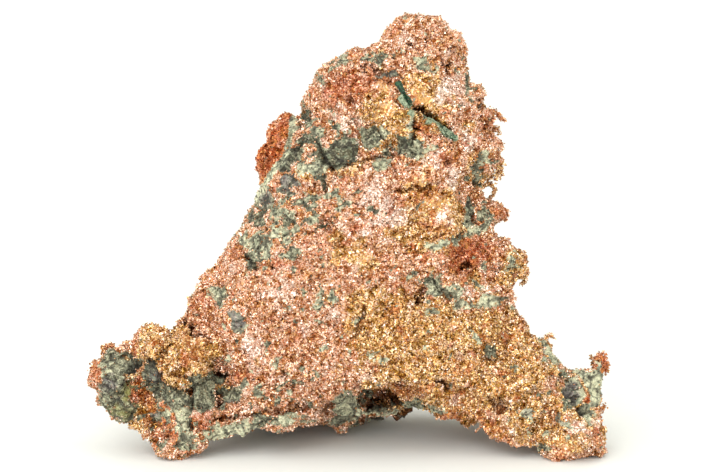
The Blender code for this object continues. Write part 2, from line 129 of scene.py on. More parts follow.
# Basalt in the copper; the value is its tone, from dark olive (0) to pale grey-green (1)
BASALT = {
    "shoulder_high": (-6.8, 54.8, 1.0, 1.5, 10, 0.2),
    "shoulder_high_pale": (-5.1, 52.9, 1.1, 0.9, 30, 0.7),
    "shoulder_wing": (-9.6, 48.2, 2.2, 1.3, 48, 0.28),
    "shoulder_dark": (-6.9, 51.4, 1.6, 1.5, -30, 0.15),
    "shoulder_band": (-4.9, 49.7, 0.9, 2.4, 30, 0.2),
    "shoulder_pale": (-5.9, 46.6, 2.7, 1.3, 10, 0.8),
    "shoulder_pale_low": (-5.0, 45.9, 1.6, 1.0, 0, 0.75),
    "olive_face": (-1.2, 49.0, 3.4, 2.2, 10, 0.08),
    "olive_face_low": (-1.8, 47.2, 1.8, 1.0, 10, 0.30),
    "olive_tip": (-1.6, 52.4, 0.6, 1.2, 0, 0.45),
    "ledge_middle": (4.2, 51.4, 2.2, 1.7, -20, 0.50),
    "ledge_middle_pale": (6.4, 52.6, 1.0, 1.0, 0, 0.85),
    "ledge_drop": (5.6, 47.2, 1.2, 1.5, 0, 0.70),
    "ledge_right": (10.6, 49.7, 2.6, 1.1, 8, 0.45),
    "ledge_right_pale": (12.4, 49.0, 2.4, 0.5, 12, 0.95),
    "ledge_right_dark": (9.9, 51.2, 1.1, 0.8, 0, 0.15),
    "rod_bank": (10.7, 53.7, 0.7, 2.1, -8, 0.8),
    "left_face_a": (-13.8, 40.8, 1.9, 1.3, 10, 0.45),
    "left_face_b": (-15.6, 37.9, 1.4, 1.2, -30, 0.15),
    "left_face_c": (-15.1, 33.5, 2.6, 1.5, -10, 0.70),
    "left_face_c_low": (-16.0, 32.0, 1.6, 1.4, -30, 0.45),
    "left_face_d": (-10.4, 35.4, 2.0, 1.1, -5, 0.80),
    "left_face_e": (-6.8, 40.5, 2.4, 1.0, 15, 0.35),
    "left_face_f": (-6.2, 37.4, 2.0, 0.8, 20, 0.65),
    "left_face_g": (-4.2, 36.6, 1.0, 0.5, 30, 0.05),
    "left_face_h": (-10.3, 42.4, 1.3, 1.1, 0, 0.20),
    "left_face_i": (-11.6, 38.4, 1.5, 0.9, 20, 0.45),
    "left_face_j": (-1.8, 41.0, 0.7, 1.0, 0, 0.60),
    "left_face_k": (-9.6, 32.0, 1.6, 0.7, 0, 0.40),
    "upper_drip": (-3.8, 43.6, 0.6, 1.5, 10, 0.20),
    "slit_banks": (-16.2, 30.7, 1.3, 1.6, 20, 0.25),
    "left_knot": (-22.0, 25.2, 1.5, 1.3, 20, 0.65),
    "left_knot_low": (-21.2, 23.8, 1.1, 0.9, 20, 0.35),
    "middle_drop": (-4.6, 25.0, 0.6, 2.0, 5, 0.45),
    "middle_drop_foot": (-5.2, 22.9, 0.9, 0.6, 10, 0.85),
    "lilac_run": (-19.0, 20.6, 0.8, 2.3, 12, 0.50),
    "lilac_run_end": (-17.3, 18.7, 1.0, 0.6, 35, 0.90),
    "bleb_a": (-3.9, 15.2, 0.6, 0.9, 10, 0.85),
    "bleb_b": (4.4, 14.3, 1.0, 0.9, 20, 0.95),
    "bleb_c": (6.0, 13.7, 0.5, 0.7, -10, 0.80),
    "bleb_d": (-5.4, 10.9, 0.5, 0.9, 0, 0.75),
    "bleb_e": (13.7, 15.5, 1.3, 0.45, -18, 0.80),
    "bleb_f": (17.7, 14.5, 0.5, 0.7, 0, 0.75),
    "bleb_g": (-20.7, 13.9, 0.6, 0.7, 0, 0.90),
    "bleb_h": (-17.5, 9.4, 0.6, 1.2, 0, 0.70),
    "bleb_i": (-14.9, 7.8, 0.9, 1.1, 10, 0.85),
    "bleb_j": (-9.3, 7.2, 0.8, 0.6, 0, 0.70),
    "bleb_k": (1.2, 20.4, 0.5, 0.6, 0, 0.70),
    "bleb_l": (21.5, 17.2, 1.0, 1.1, 20, 0.95),
    "bleb_m": (-12.2, 12.4, 0.5, 0.5, 0, 0.60),
    "bleb_n": (28.6, 12.4, 0.9, 0.6, 0, 0.55),
    "knee_head": (14.8, 26.6, 1.9, 1.6, -30, 0.45),
    "knee_patch": (17.5, 25.3, 2.6, 1.3, -22, 0.55),
    "knee_patch_tail": (20.4, 23.0, 2.4, 0.8, -8, 0.95),
    "knee_lobe": (24.6, 23.7, 2.1, 1.2, 5, 0.88),
    "knee_bleb": (22.0, 26.4, 0.8, 0.7, 0, 0.75),
    "knee_low": (14.6, 21.9, 1.2, 0.5, 5, 0.70),
    "pale_lens": (15.3, 32.9, 2.2, 0.8, 14, 0.95),
    "pale_lens_end": (18.6, 34.0, 1.4, 0.6, 30, 0.70),
    "right_seam_high": (20.7, 39.3, 0.9, 1.6, -4, 0.25),
    "right_seam_low": (20.9, 36.4, 0.7, 1.8, 8, 0.50),
    "right_seam_dark": (22.0, 43.6, 0.8, 0.7, 0, 0.05),
    "right_seam_side": (23.4, 38.6, 1.0, 1.4, 25, 0.40),
    "right_seam_top": (21.9, 46.4, 0.9, 2.0, -6, 0.75),
    "knuckle_band": (22.4, 36.0, 3.2, 0.8, 30, 0.70),
    "knuckle_patch": (24.6, 37.9, 0.6, 1.3, -14, 0.80),
    "cheek_patch": (23.6, 48.2, 0.9, 0.7, 0, 0.75),
    "flap_patch": (27.7, 30.3, 1.1, 1.5, 8, 0.6),
    "brow_band": (6.8, 62.1, 2.2, 0.5, -4, 0.15),
    "brow_spot": (4.6, 64.9, 1.3, 0.5, -10, 0.20),
    "crown_patch": (12.9, 63.9, 1.0, 0.8, -40, 0.6),
    "crown_patch_tail": (14.6, 62.9, 1.5, 0.5, -14, 0.85),
    "crown_edge": (20.9, 60.8, 0.7, 1.9, -12, 0.40),
    "crown_edge_low": (21.4, 58.4, 0.5, 0.8, 0, 0.70),
    "crown_left": (-2.0, 63.6, 0.9, 0.5, 30, 0.30),
    "left_end_facet": (-39.0, 13.6, 3.1, 2.0, 15, 0.5),
    "left_end_side": (-36.3, 13.2, 1.3, 1.6, 0, 0.12),
    "left_end": (-39.3, 8.3, 3.0, 3.6, -5, 0.28),
    "left_end_low": (-37.8, 5.6, 2.2, 1.7, 0, 0.2),
    "left_arm_core": (-40.6, 14.9, 0.7, 0.9, -30, 0.55),
    "dome_foot": (-33.6, 11.2, 1.5, 1.9, 10, 0.12),
    "dome_foot_low": (-32.4, 9.0, 1.3, 1.6, 0, 0.30),
    "shelf_left": (-29.6, 7.1, 2.9, 2.0, -10, 0.3),
    "shelf_middle": (-24.6, 8.0, 2.3, 3.1, -14, 0.3),
    "shelf_middle_high": (-22.4, 10.7, 1.4, 1.3, -20, 0.12),
    "shelf_right": (-19.3, 8.2, 2.2, 1.3, 8, 0.22),
    "nest": (-32.0, 4.1, 1.4, 1.1, -20, 0.5),
    "rim_pale": (-27.8, 3.6, 1.4, 2.2, -14, 0.80),
    "rim_low": (-27.0, 0.8, 1.4, 0.9, 20, 0.60),
    "rim_right": (-23.6, 1.6, 1.7, 0.8, 20, 0.70),
    "sole_strip": (-19.5, 1.2, 4.6, 1.6, 14, 0.68),
    "sole_strip_right": (-12.4, 3.4, 4.2, 0.9, 6, 0.55),
    "recess_left": (0.0, 6.3, 2.0, 2.6, -10, 0.62),
    "recess_pale": (2.6, 4.1, 2.2, 1.2, 20, 0.90),
    "recess_low": (-1.8, 3.4, 2.0, 0.7, 20, 0.60),
    "recess_high": (3.2, 8.0, 1.2, 0.6, 20, 0.85),
    "recess_crystals": (5.9, 4.3, 2.2, 0.9, 20, 0.95),
    "recess_right": (11.4, 6.2, 2.1, 1.0, -8, 0.35),
    "recess_right_pale": (15.2, 5.3, 1.6, 0.7, -14, 0.60),
    "recess_lilac": (4.9, 9.2, 0.8, 0.4, 0, 0.70),
    "right_end": (42.0, 9.5, 2.2, 3.3, -6, 0.88),
    "right_end_inner": (38.3, 8.0, 1.7, 3.2, -10, 0.4),
    "right_end_low": (41.0, 4.9, 1.2, 1.5, 0, 0.7),
    "right_end_root": (37.5, 10.9, 1.5, 1.0, 30, 0.5),
    "right_fringe": (34.8, 14.3, 0.9, 3.1, 30, 0.65),
    "right_fringe_top": (33.4, 17.0, 1.3, 0.6, 0, 0.65),
    "hem_patch": (30.5, 4.6, 1.2, 0.9, 20, 0.75),
    "hem_patch_right": (37.1, 2.9, 1.6, 0.8, -20, 0.55),
    "hem_bleb": (33.6, 1.4, 0.7, 0.6, 20, 0.95),
    "hem_bleb_low": (30.7, 1.4, 0.8, 0.9, -30, 0.7),
    "foot_bleb": (34.6, 8.4, 0.5, 0.5, 0, 0.60),
    "edge_grey_high": (3.6, 64.6, 1.6, 0.5, -12, 0.35),
    "edge_grey_mid": (-1.2, 64.8, 1.3, 0.8, 30, 0.40),
    "edge_grey_low": (-4.4, 61.4, 0.7, 1.0, 20, 0.30),
    "edge_grey_foot": (-8.0, 58.0, 1.0, 1.2, 30, 0.35),
    "brow_round": (5.9, 65.3, 1.3, 0.5, -8, 0.20),
    "lobe_foot_stone": (-10.2, 44.3, 1.6, 1.3, 0, 0.2),
    "left_end_high": (-40.5, 15.4, 1.1, 1.3, 0, 0.5),
    "hem_tip": (33.2, -1.5, 0.8, 0.8, 0, 0.5),
    "left_end_pale": (-41.2, 11.7, 0.9, 1.1, 0, 0.75),
    "foot_stone": (-27.1, -1.0, 1.5, 0.9, 0, 0.5),
    "foot_stone_left": (-31.3, -0.8, 1.1, 0.9, 0, 0.35),
    "ledge_film": (12.7, 39.8, 0.5, 0.8, -20, 0.5),
    "lilac_run_mid": (-18.0, 19.3, 0.7, 1.7, 14, 0.45),
    "ring": (24.3, 15.2, 0.75, 1.3, 0, 0.32),
    "right_end_top": (39.7, 11.0, 2.1, 1.5, -10, 0.78),
}

# Copper and basalt mixed grain by grain; the value is how much basalt
MIXED = {
    "left_flank": (-14.0, 37.0, 6.5, 6.5, 30, 0.50),
    "upper_middle": (-4.0, 39.5, 7.0, 3.5, 10, 0.36),
    "shoulder": (-5.0, 50.0, 8.0, 5.0, 5, 0.42),
    "ledge": (7.0, 49.5, 6.0, 2.4, 0, 0.40),
    "left_foot": (-30.3, 5.6, 11.5, 6.0, 0, 0.42),
    "left_sole": (-14.0, 2.8, 10.0, 2.0, 5, 0.48),
    "recess": (5.0, 5.6, 9.0, 3.6, 0, 0.62),
    "right_end": (40.4, 8.3, 3.5, 4.0, 0, 0.25),
    "right_seam": (22.0, 38.0, 2.4, 6.5, 0, 0.46),
    "cheek": (23.5, 46.5, 2.4, 3.0, 0, 0.42),
    "crown": (12.0, 62.1, 9.0, 4.0, -10, 0.12),
    "lower_left": (-12.0, 8.5, 9.0, 3.5, 0, 0.28),
    "belly_left": (-4.0, 24.0, 3.5, 4.0, 0, 0.32),
    "right_foot": (31.0, 3.5, 6.0, 3.0, -20, 0.2),
    "knee": (19.0, 25.0, 6.0, 3.0, -15, 0.3),
}

# Copper that leans to gold; the value is how strongly
GOLDEN = {
    "lower_right": (19.0, 13.0, 17.0, 11.0, 0, 0.75),
    "belly": (7.0, 18.5, 8.5, 7.5, 0, 0.80),
    "waist_right": (14.0, 37.0, 6.5, 6.0, 0, 0.95),
    "left_dome": (-29.5, 13.5, 7.5, 6.0, 0, 0.90),
    "left_foot_low": (-34.5, 4.0, 3.0, 3.0, 0, 0.70),
    "right_foot": (33.0, 4.0, 11.0, 7.5, 0, 0.62),
    "upper_middle": (8.0, 54.0, 8.0, 5.0, 10, 0.75),
    "brow": (12.5, 58.7, 6.0, 4.0, 0, 0.85),
    "sheet_lip": (-2.0, 45.9, 4.0, 1.0, 8, 0.80),
    "right_face": (21.0, 47.0, 3.0, 8.0, 0, 0.45),
    "middle_patch": (1.5, 31.0, 3.0, 3.0, 0, 0.70),
    "flap_edge": (29.6, 28.5, 1.4, 3.0, 0, 0.80),
    "shelf_right": (27.0, 27.0, 4.0, 2.0, 0, 0.70),
    "knee_above": (17.0, 29.0, 3.0, 1.5, 0, 0.60),
    "left_bump": (-34.7, 10.4, 1.8, 1.4, 0, 0.8),
}

# Copper stained red-brown; the value is how strongly
RED = {
    "lobe": (-13.2, 49.0, 2.4, 4.6, -22, 0.95),
    "lobe_top": (-10.0, 55.3, 1.0, 1.2, 0, 0.9),
    "shoulder_seam": (-7.8, 51.6, 0.4, 2.2, -45, 0.85),
    "shoulder_below": (-9.6, 44.0, 2.4, 1.2, 0, 0.40),
    "brow_left": (1.0, 60.5, 3.4, 2.2, -20, 0.50),
    "brow_knot": (5.6, 61.4, 2.8, 1.0, -10, 0.60),
    "brow_spot": (3.8, 64.9, 1.0, 0.8, 0, 0.50),
    "cavity_rim": (19.7, 31.5, 3.0, 3.2, 0, 0.82),
    "cavity_rim_right": (23.4, 32.6, 2.4, 1.8, -20, 0.62),
    "right_spot": (22.6, 47.6, 0.8, 1.4, 20, 0.95),
    "rod_cavity": (12.6, 53.1, 1.2, 1.5, -30, 0.85),
    "right_crease": (24.6, 54.3, 0.7, 1.6, 0, 0.85),
    "slit_foot": (-11.8, 30.0, 2.2, 0.9, 0, 0.80),
    "left_edge": (-18.8, 32.0, 0.9, 1.6, -30, 0.60),
    "left_edge_low": (-24.5, 23.5, 2.0, 1.4, 42, 0.35),
    "left_bump": (-34.6, 8.5, 1.4, 2.0, 0, 0.7),
    "left_foot_dark": (-33.6, 11.6, 0.8, 1.0, 0, 0.70),
    "left_tip": (-42.9, 12.2, 0.9, 1.9, 0, 0.6),
    "left_knob": (-40.2, 15.6, 1.2, 1.0, 0, 0.60),
    "nest_ring": (-32.0, 4.3, 2.3, 1.9, -20, 0.75),
    "left_rim_low": (-29.6, 1.0, 1.8, 0.7, 0, 0.85),
    "left_cluster": (-24.4, 3.6, 2.0, 1.6, 0, 0.60),
    "shelf_end": (-17.4, 10.8, 2.0, 0.7, 0, 0.80),
    "middle_spot": (-8.6, 17.3, 0.9, 0.8, 0, 0.60),
    "face_spot": (1.9, 36.4, 0.5, 0.6, 0, 0.90),
    "left_face_spot": (-2.2, 40.6, 0.5, 0.8, 0, 0.80),
    "sheet_lip": (12.5, 41.5, 3.4, 0.7, 8, 0.75),
    "dome_spot": (-27.2, 13.8, 0.8, 0.7, 0, 0.90),
    "horn": (43.4, 13.4, 1.4, 2.2, 0, 0.90),
    "right_rust": (40.7, 7.0, 0.8, 0.8, 0, 0.95),
    "right_edge": (43.6, 6.0, 0.8, 4.0, 0, 0.60),
    "knuckle": (26.2, 38.6, 1.4, 1.6, 0, 0.60),
    "knuckle_inner": (22.6, 37.4, 0.8, 1.0, 0, 0.70),
    "lip_beads": (18.0, 4.4, 3.0, 0.6, -5, 0.80),
    "recess_roof": (11.0, 8.6, 6.0, 1.0, 0, 0.45),
    "ring_side": (23.2, 16.6, 1.0, 1.2, 0, 0.60),
    "right_hem": (24.0, 2.0, 4.0, 1.2, -20, 0.40),
    "spur": (25.6, 55.2, 1.6, 0.8, -40, 0.60),
    "lobe_middle": (-11.5, 52.2, 1.7, 3.2, -20, 0.95),
    "lobe_foot": (-14.4, 45.8, 1.3, 1.6, -20, 0.9),
    "dome_dark": (-32.0, 10.0, 1.2, 1.6, 0, 0.8),
    "foot_rust": (-29.5, 0.5, 1.4, 0.8, 0, 0.9),
    "ledge_low": (14.1, 41.0, 1.6, 0.5, -5, 0.7),
    "side_cavity": (17.1, 47.6, 1.1, 0.8, 0, 0.85),
    "brow_rust": (-2.2, 59.2, 1.9, 1.8, 0, 0.75),
    "brow_rust_high": (1.7, 64.4, 1.2, 0.6, 0, 0.7),
    "crown_spot": (8.0, 69.5, 0.5, 0.5, 0, 0.8),
    "brown_patch": (1.0, 57.6, 1.1, 0.9, 0, 0.85),
    "foot_mottle": (18.3, 8.3, 1.8, 1.2, -20, 0.35),
    "foot_mottle_high": (19.5, 12.7, 1.6, 1.2, 0, 0.3),
    "waist_right": (16.5, 35.4, 1.6, 1.2, 0, 0.35),
}

# Smooth films of gold-coloured copper with few grains; the value is how smooth
GILT = {
    "plate": (10.7, 61.7, 0.8, 0.7, 0, 0.95),
    "plate_high": (12.4, 59.2, 1.0, 0.9, -30, 0.9),
    "plate_left": (6.5, 56.6, 1.2, 1.6, -30, 0.95),
    "plate_right": (13.4, 58.0, 1.9, 1.4, -30, 0.95),
    "bead": (8.7, 52.7, 0.7, 1.1, 0, 0.85),
    "ledge": (12.0, 44.1, 1.7, 0.8, 4, 0.9),
    "ledge_low": (14.8, 40.0, 1.8, 1.0, -10, 0.9),
    "sheet_lip": (-0.4, 45.8, 1.6, 0.6, 6, 0.85),
    "dome": (-26.3, 16.2, 1.2, 2.6, 42, 1.0),
    "dome_low": (-26.0, 13.0, 0.8, 0.9, 0, 0.60),
    "right_foot": (36.5, -1.2, 1.8, 0.8, -10, 0.9),
    "right_foot_high": (37.6, 2.6, 0.7, 0.7, 0, 0.60),
    "middle": (2.6, 30.2, 1.3, 0.9, 0, 0.45),
    "high_left": (6.1, 59.7, 1.0, 0.9, 0, 0.7),
    "shelf": (19.6, 27.4, 1.4, 0.7, 10, 0.50),
    "ledge_olive": (14.3, 46.5, 0.9, 1.0, 0, 0.8),
    "foot_olive": (25.4, 4.9, 1.6, 0.9, -30, 0.55),
    "foot_olive_left": (22.6, 7.3, 1.2, 0.8, -20, 0.5),
    "waist": (14.9, 38.5, 3.2, 2.8, 0, 0.42),
}

# Pale copper and painted highlights, almost white where a highlight is painted; the value is how pale
PALE_AND_HIGHLIGHT = {
    "cheek": (17.0, 60.7, 1.8, 1.7, -20, 0.95),
    "cheek_low": (19.0, 57.0, 1.8, 2.2, 0, 0.70),
    "rib": (16.0, 48.4, 2.2, 1.0, 16, 0.95),
    "rib_left": (12.6, 47.6, 1.0, 0.6, 0, 0.70),
    "side": (18.1, 44.3, 1.1, 1.1, 20, 0.95),
    "right_face": (20.6, 50.5, 1.8, 3.0, 0, 0.60),
    "toe": (40.5, -0.3, 1.3, 1.2, 0, 0.95),
    "crown": (9.5, 68.6, 1.6, 1.4, 0, 0.75),
    "crown_right": (17.2, 64.8, 1.2, 1.4, 0, 0.70),
    "upper_left": (-5.0, 51.9, 1.2, 1.2, 0, 0.60),
    "brow": (-0.6, 54.8, 3.4, 2.0, 0, 0.55),
    "waist_left": (5.0, 40.5, 5.5, 4.0, -10, 0.60),
    "middle_left": (-12.5, 26.5, 4.5, 3.5, 20, 0.60),
    "lower_left": (-15.0, 16.5, 4.5, 3.5, 0, 0.55),
    "middle": (-1.0, 28.5, 3.0, 2.0, 0, 0.45),
    "spot_a": (-1.6, 21.9, 0.8, 0.8, 0, 0.95),
    "spot_b": (3.0, 34.6, 1.0, 0.8, 0, 0.70),
    "lip": (18.5, 8.0, 4.0, 2.0, -20, 0.40),
    "shelf_band": (-21.0, 5.2, 4.0, 0.9, 10, 0.60),
    "foot_sheen": (39.6, 2.0, 2.6, 1.6, 30, 0.60),
    "cheek_cream": (15.8, 58.2, 1.4, 1.4, -30, 0.95),
    "lip_pink": (17.1, 7.3, 2.6, 1.4, -25, 0.4),
}

# Lilac basalt; the value is how strongly
LILAC = {
    "run": (-18.9, 20.6, 0.8, 2.0, 15, 0.9),
    "run_top": (-19.8, 22.8, 0.8, 0.8, 0, 0.8),
    "right_hollow": (38.3, 8.0, 1.0, 1.8, 10, 0.9),
    "left_end": (-40.6, 9.6, 1.2, 1.4, 0, 0.8),
    "left_end_low": (-38.6, 7.2, 0.7, 0.8, 0, 0.6),
    "shelf_right": (-19.2, 6.9, 1.6, 0.6, 0, 0.6),
    "left_spot": (-13.8, 41.4, 1.6, 1.0, 0, 0.7),
    "face": (-10.3, 42.6, 1.0, 0.9, 0, 0.9),
    "dome_foot": (-32.6, 11.0, 1.2, 1.2, 0, 0.6),
    "nest": (-33.0, 4.6, 1.0, 0.8, 0, 0.6),
    "ledge_film": (12.7, 39.8, 0.6, 0.9, -20, 0.9),
    "brow_band": (6.3, 62.2, 1.6, 0.5, 0, 0.7),
    "recess": (4.9, 9.2, 0.9, 0.5, 0, 0.8),
    "hem": (31.0, 4.9, 1.0, 0.9, 0, 0.5),
    "right_hem": (36.6, 3.4, 1.2, 0.6, 0, 0.5),
    "lobe_foot_stone": (-10.2, 44.3, 1.5, 1.1, 0, 0.8),
    "lilac_run_mid": (-18.1, 20.2, 0.7, 1.8, 14, 0.9),
}

# Yellow stains on the basalt; the value is how strong
STAINED = {
    "left_end": (-36.6, 8.2, 1.3, 1.7, -10, 0.9),
    "left_end_mid": (-38.8, 7.8, 0.8, 0.6, 0, 0.6),
    "left_end_low": (-38.4, 5.2, 2.0, 0.7, 8, 0.6),
    "recess": (8.4, 3.8, 1.0, 0.7, 0, 0.6),
}

# Pits and slots, cut into the surface and painted dark as painted shade; the value is the depth
PITS = {
    "slit_left": (-16.9, 30.9, 0.6, 1.6, 25, 1.2),
    "slit_right": (-15.6, 29.8, 0.4, 1.1, 30, 0.8),
    "slit_foot": (-12.8, 29.6, 0.7, 0.5, 0, 0.9),
    "dome_hole": (-21.3, 11.4, 1.0, 0.55, -42, 1.8),
    "dome_slit": (-25.6, 15.2, 0.3, 0.8, 10, 0.9),
    "dome_gap": (-26.6, 19.3, 3.4, 0.5, -42, 1.3),
    "dome_gap_right": (-23.0, 13.4, 0.35, 1.2, 40, 0.7),
    "dome_edge": (-31.2, 15.6, 0.4, 1.8, -14, 0.8),
    "belly_pit": (-10.0, 11.7, 0.5, 0.45, 0, 0.9),
    "belly_pit_low": (-9.6, 9.2, 0.45, 0.35, 0, 0.8),
    "crown_pit_left": (13.9, 68.2, 0.35, 0.35, 0, 0.7),
    "crown_line": (10.4, 67.0, 1.6, 0.35, -14, 0.6),
    "knee_slot": (12.4, 24.6, 0.6, 1.4, -12, 1.4),
    "knee_crack": (17.2, 25.2, 0.4, 1.2, 20, 0.8),
    "red_cavity": (20.2, 29.5, 1.3, 0.6, 6, 1.6),
    "seam_pit": (21.4, 37.8, 0.5, 0.9, 10, 0.9),
    "seam_pit_low": (19.9, 34.6, 0.4, 1.0, 30, 0.8),
    "seam_pit_high": (22.0, 43.7, 0.6, 0.5, 0, 0.9),
    "face_pit_a": (-14.9, 24.4, 0.4, 0.35, 0, 0.7),
    "face_pit_b": (-8.9, 31.2, 0.9, 0.4, -40, 0.7),
    "face_pit_c": (-4.6, 27.6, 0.4, 0.6, -20, 0.6),
    "brown_patch": (0.9, 57.5, 1.1, 0.8, -20, 0.8),
    "rod_cavity": (11.9, 53.6, 0.7, 1.3, 20, 1.3),
    "rod_cavity_low": (11.0, 51.0, 0.7, 0.5, 0, 1.0),
    "brow_line": (4.4, 63.0, 2.6, 0.4, -8, 0.9),
    "brow_line_low": (6.0, 61.0, 3.0, 0.3, -8, 0.6),
    "shoulder_gap": (-8.0, 55.2, 0.3, 1.6, -12, 1.0),
    "shoulder_gap_mid": (-4.8, 52.4, 1.4, 0.4, 6, 0.9),
    "shoulder_fold": (-8.4, 50.0, 0.4, 1.6, -45, 0.9),
    "shoulder_fold_low": (-10.0, 46.8, 0.3, 1.0, -30, 0.8),
    "olive_gap": (0.6, 51.4, 1.2, 0.35, 10, 0.7),
    "ledge_gap": (7.6, 50.2, 0.8, 0.4, -20, 0.9),
    "ledge_lip": (2.6, 47.3, 2.0, 0.3, 16, 0.7),
    "left_end_gap": (-34.9, 12.6, 0.5, 1.4, 10, 1.0),
    "left_end_gap_low": (-32.0, 10.2, 1.1, 0.7, -40, 1.4),
    "left_end_hollow": (-39.6, 6.6, 0.7, 0.6, 0, 0.8),
    "left_end_edge": (-36.0, 4.6, 1.0, 0.5, -20, 0.9),
    "nest_hole": (-32.2, 3.2, 0.8, 0.6, -20, 0.8),
    "shelf_dark": (-27.6, 11.0, 2.2, 0.45, -14, 1.0),
    "sole_pit": (-26.5, 2.8, 0.6, 0.9, 10, 1.2),
    "sole_pit_left": (-33.9, 1.9, 0.5, 0.8, 20, 0.9),
    "sole_notch": (-30.8, 0.6, 0.8, 0.5, -20, 0.8),
    "right_end_hollow": (38.0, 7.8, 0.8, 1.4, 10, 0.9),
    "right_end_pit": (40.0, 5.1, 0.6, 0.5, -20, 1.3),
    "right_end_seam": (36.2, 10.6, 0.6, 1.4, 30, 1.0),
    "recess_shadow": (7.1, 7.0, 1.9, 1.3, 20, 2.4),
    "recess_shadow_left": (4.6, 6.1, 1.6, 0.9, 26, 2.2),
    "recess_roof": (16.0, 9.6, 1.6, 0.5, -14, 1.2),
    "recess_roof_left": (8.8, 9.8, 1.8, 0.4, 0, 0.8),
    "cheek_gap": (17.2, 63.2, 0.3, 1.2, 24, 1.0),
    "cheek_hole": (22.2, 49.6, 0.8, 0.4, 14, 0.8),
    "right_crease": (24.5, 54.0, 0.45, 1.4, 0, 1.1),
    "right_crease_left": (22.6, 57.0, 0.5, 0.9, 30, 0.8),
    "foot_hollow": (25.4, 6.0, 2.4, 1.2, -20, 0.8),
    "foot_line": (32.0, 8.2, 0.4, 1.6, 20, 0.5),
    "sole_shadow": (-8.0, 5.6, 2.6, 0.7, 8, 0.8),
    "sole_shadow_right": (-3.4, 5.4, 1.4, 0.9, 20, 0.8),
    "left_end_nook": (-37.1, 9.8, 0.9, 0.9, 0, 0.9),
    "left_end_nook_low": (-38.3, 6.5, 0.9, 0.6, 0, 0.8),
    "dome_dark_a": (-36.3, 12.7, 0.9, 1.0, 0, 1.2),
    "dome_dark_b": (-32.0, 10.4, 0.8, 1.2, 0, 1.4),
    "dome_dark_c": (-33.4, 12.4, 0.6, 1.0, 0, 0.9),
    "dome_dark_d": (-29.0, 11.7, 0.9, 0.5, -20, 0.8),
    "dome_dark_e": (-37.4, 14.4, 0.8, 0.6, -30, 0.9),
    "shelf_hole": (-24.2, 5.8, 0.9, 0.7, 0, 0.9),
    "lobe_dark": (-13.2, 50.0, 0.5, 1.8, -20, 0.6),
    "lobe_dark_low": (-13.9, 47.6, 0.6, 1.2, 0, 0.5),
    "side_cavity": (17.3, 47.5, 0.6, 0.5, 0, 0.7),
    "crown_right": (18.4, 66.6, 0.45, 0.5, 0, 1.6),
    "cave_deep": (6.1, 6.6, 2.6, 1.2, 12, 1.2),
    "ring": (24.4, 15.1, 0.45, 1.1, 0, 0.5),
}

# Cracks, cut into the surface and painted dark as painted shade: their line, half width and depth
CRACKS = {
    "shoulder": (((-5.8, 51.2), (-4.4, 49.2), (-3.2, 47.2), (-2.2, 46.0)), 0.45, 1.1),
    "shelf_left": (((-26.8, 8.5), (-26.4, 6.5), (-26.8, 4.4)), 0.32, 1.2),
    "shelf_right": (((-21.3, 8.3), (-21.7, 6.6), (-22.2, 5.1)), 0.28, 1.1),
    "dome_curl": (((-24.2, 14.6), (-24.1, 13.2), (-22.7, 11.9)), 0.18, 0.6),
    "dome_fold": (((-29.6, 18.6), (-29.9, 16.4), (-30.8, 14.6)), 0.26, 0.7),
    "crown": (((16.1, 64.6), (16.9, 63.2), (17.2, 61.8)), 0.26, 0.9),
    "sheet_lip": (((-3.6, 46.2), (1.0, 46.9), (4.2, 48.4), (8.4, 48.6)), 0.28, 0.8),
    "shoulder_inner": (((-9.4, 52.6), (-10.0, 50.2), (-11.6, 47.6)), 0.25, 0.7),
    "knee": (((14.4, 27.4), (15.6, 25.6), (17.0, 24.2)), 0.26, 0.8),
    "ring": (((24.6, 16.9), (23.7, 16.2), (23.5, 15.3), (23.9, 14.1), (24.8, 13.5)), 0.22, 0.8),
    "ring_right": (((25.4, 16.5), (26.5, 15.5), (26.6, 14.4), (25.9, 13.6)), 0.16, 0.6),
    "belly_fold": (((1.8, 17.4), (2.0, 20.0), (3.2, 22.6)), 0.30, 0.6),
    "upper_drip": (((-3.6, 45.0), (-3.9, 43.2), (-3.4, 41.8)), 0.30, 0.8),
    "left_hem": (((-22.5, 3.4), (-18.8, 4.1), (-14.4, 4.9), (-8.0, 4.8)), 0.24, 0.8),
    # This slot beside the upper rib is a painted shadow, cut in and painted black where the rib's shadow
    # lies.
    "rod_shadow_slot": (((11.4, 56.3), (12.9, 55.8), (14.6, 54.8), (15.9, 53.7), (17.1, 52.9)), 0.5, 2.0),
    "left_end": (((-41.9, 9.5), (-40.2, 8.2), (-38.1, 7.8), (-36.6, 9.0)), 0.28, 0.8),
    "left_facet": (((-40.7, 12.7), (-39.0, 11.4), (-36.9, 11.4)), 0.24, 0.7),
    "dome_left": (((-34.7, 15.1), (-34.1, 13.4), (-32.0, 11.4), (-30.3, 9.7)), 0.34, 1.0),
    "shelf_top": (((-30.7, 9.0), (-28.3, 8.7), (-26.3, 8.8), (-24.2, 9.7)), 0.28, 0.9),
    "waist_gap": (((7.0, 42.4), (9.3, 42.6), (11.4, 42.7), (13.1, 42.6), (15.4, 43.2)), 0.22, 0.7),
    "waist_line": (((10.0, 36.5), (12.4, 36.8), (15.1, 36.1), (17.0, 36.5)), 0.18, 0.45),
    "waist_line_low": (((9.7, 34.1), (11.7, 34.6), (14.1, 34.3), (16.5, 34.6)), 0.18, 0.45),
}

# Straight bands of basalt: their line, half width and tone
STRIPS = {
    "shoulder": (
        ((-9.1, 55.4), (-9.5, 52.1), (-10.4, 49.0), (-12.0, 46.6), (-13.6, 44.1), (-15.2, 41.4)), 0.55, 0.95
    ),
    "wedge": (((-7.4, 50.9), (-7.6, 48.8)), 0.22, 0.95),
}

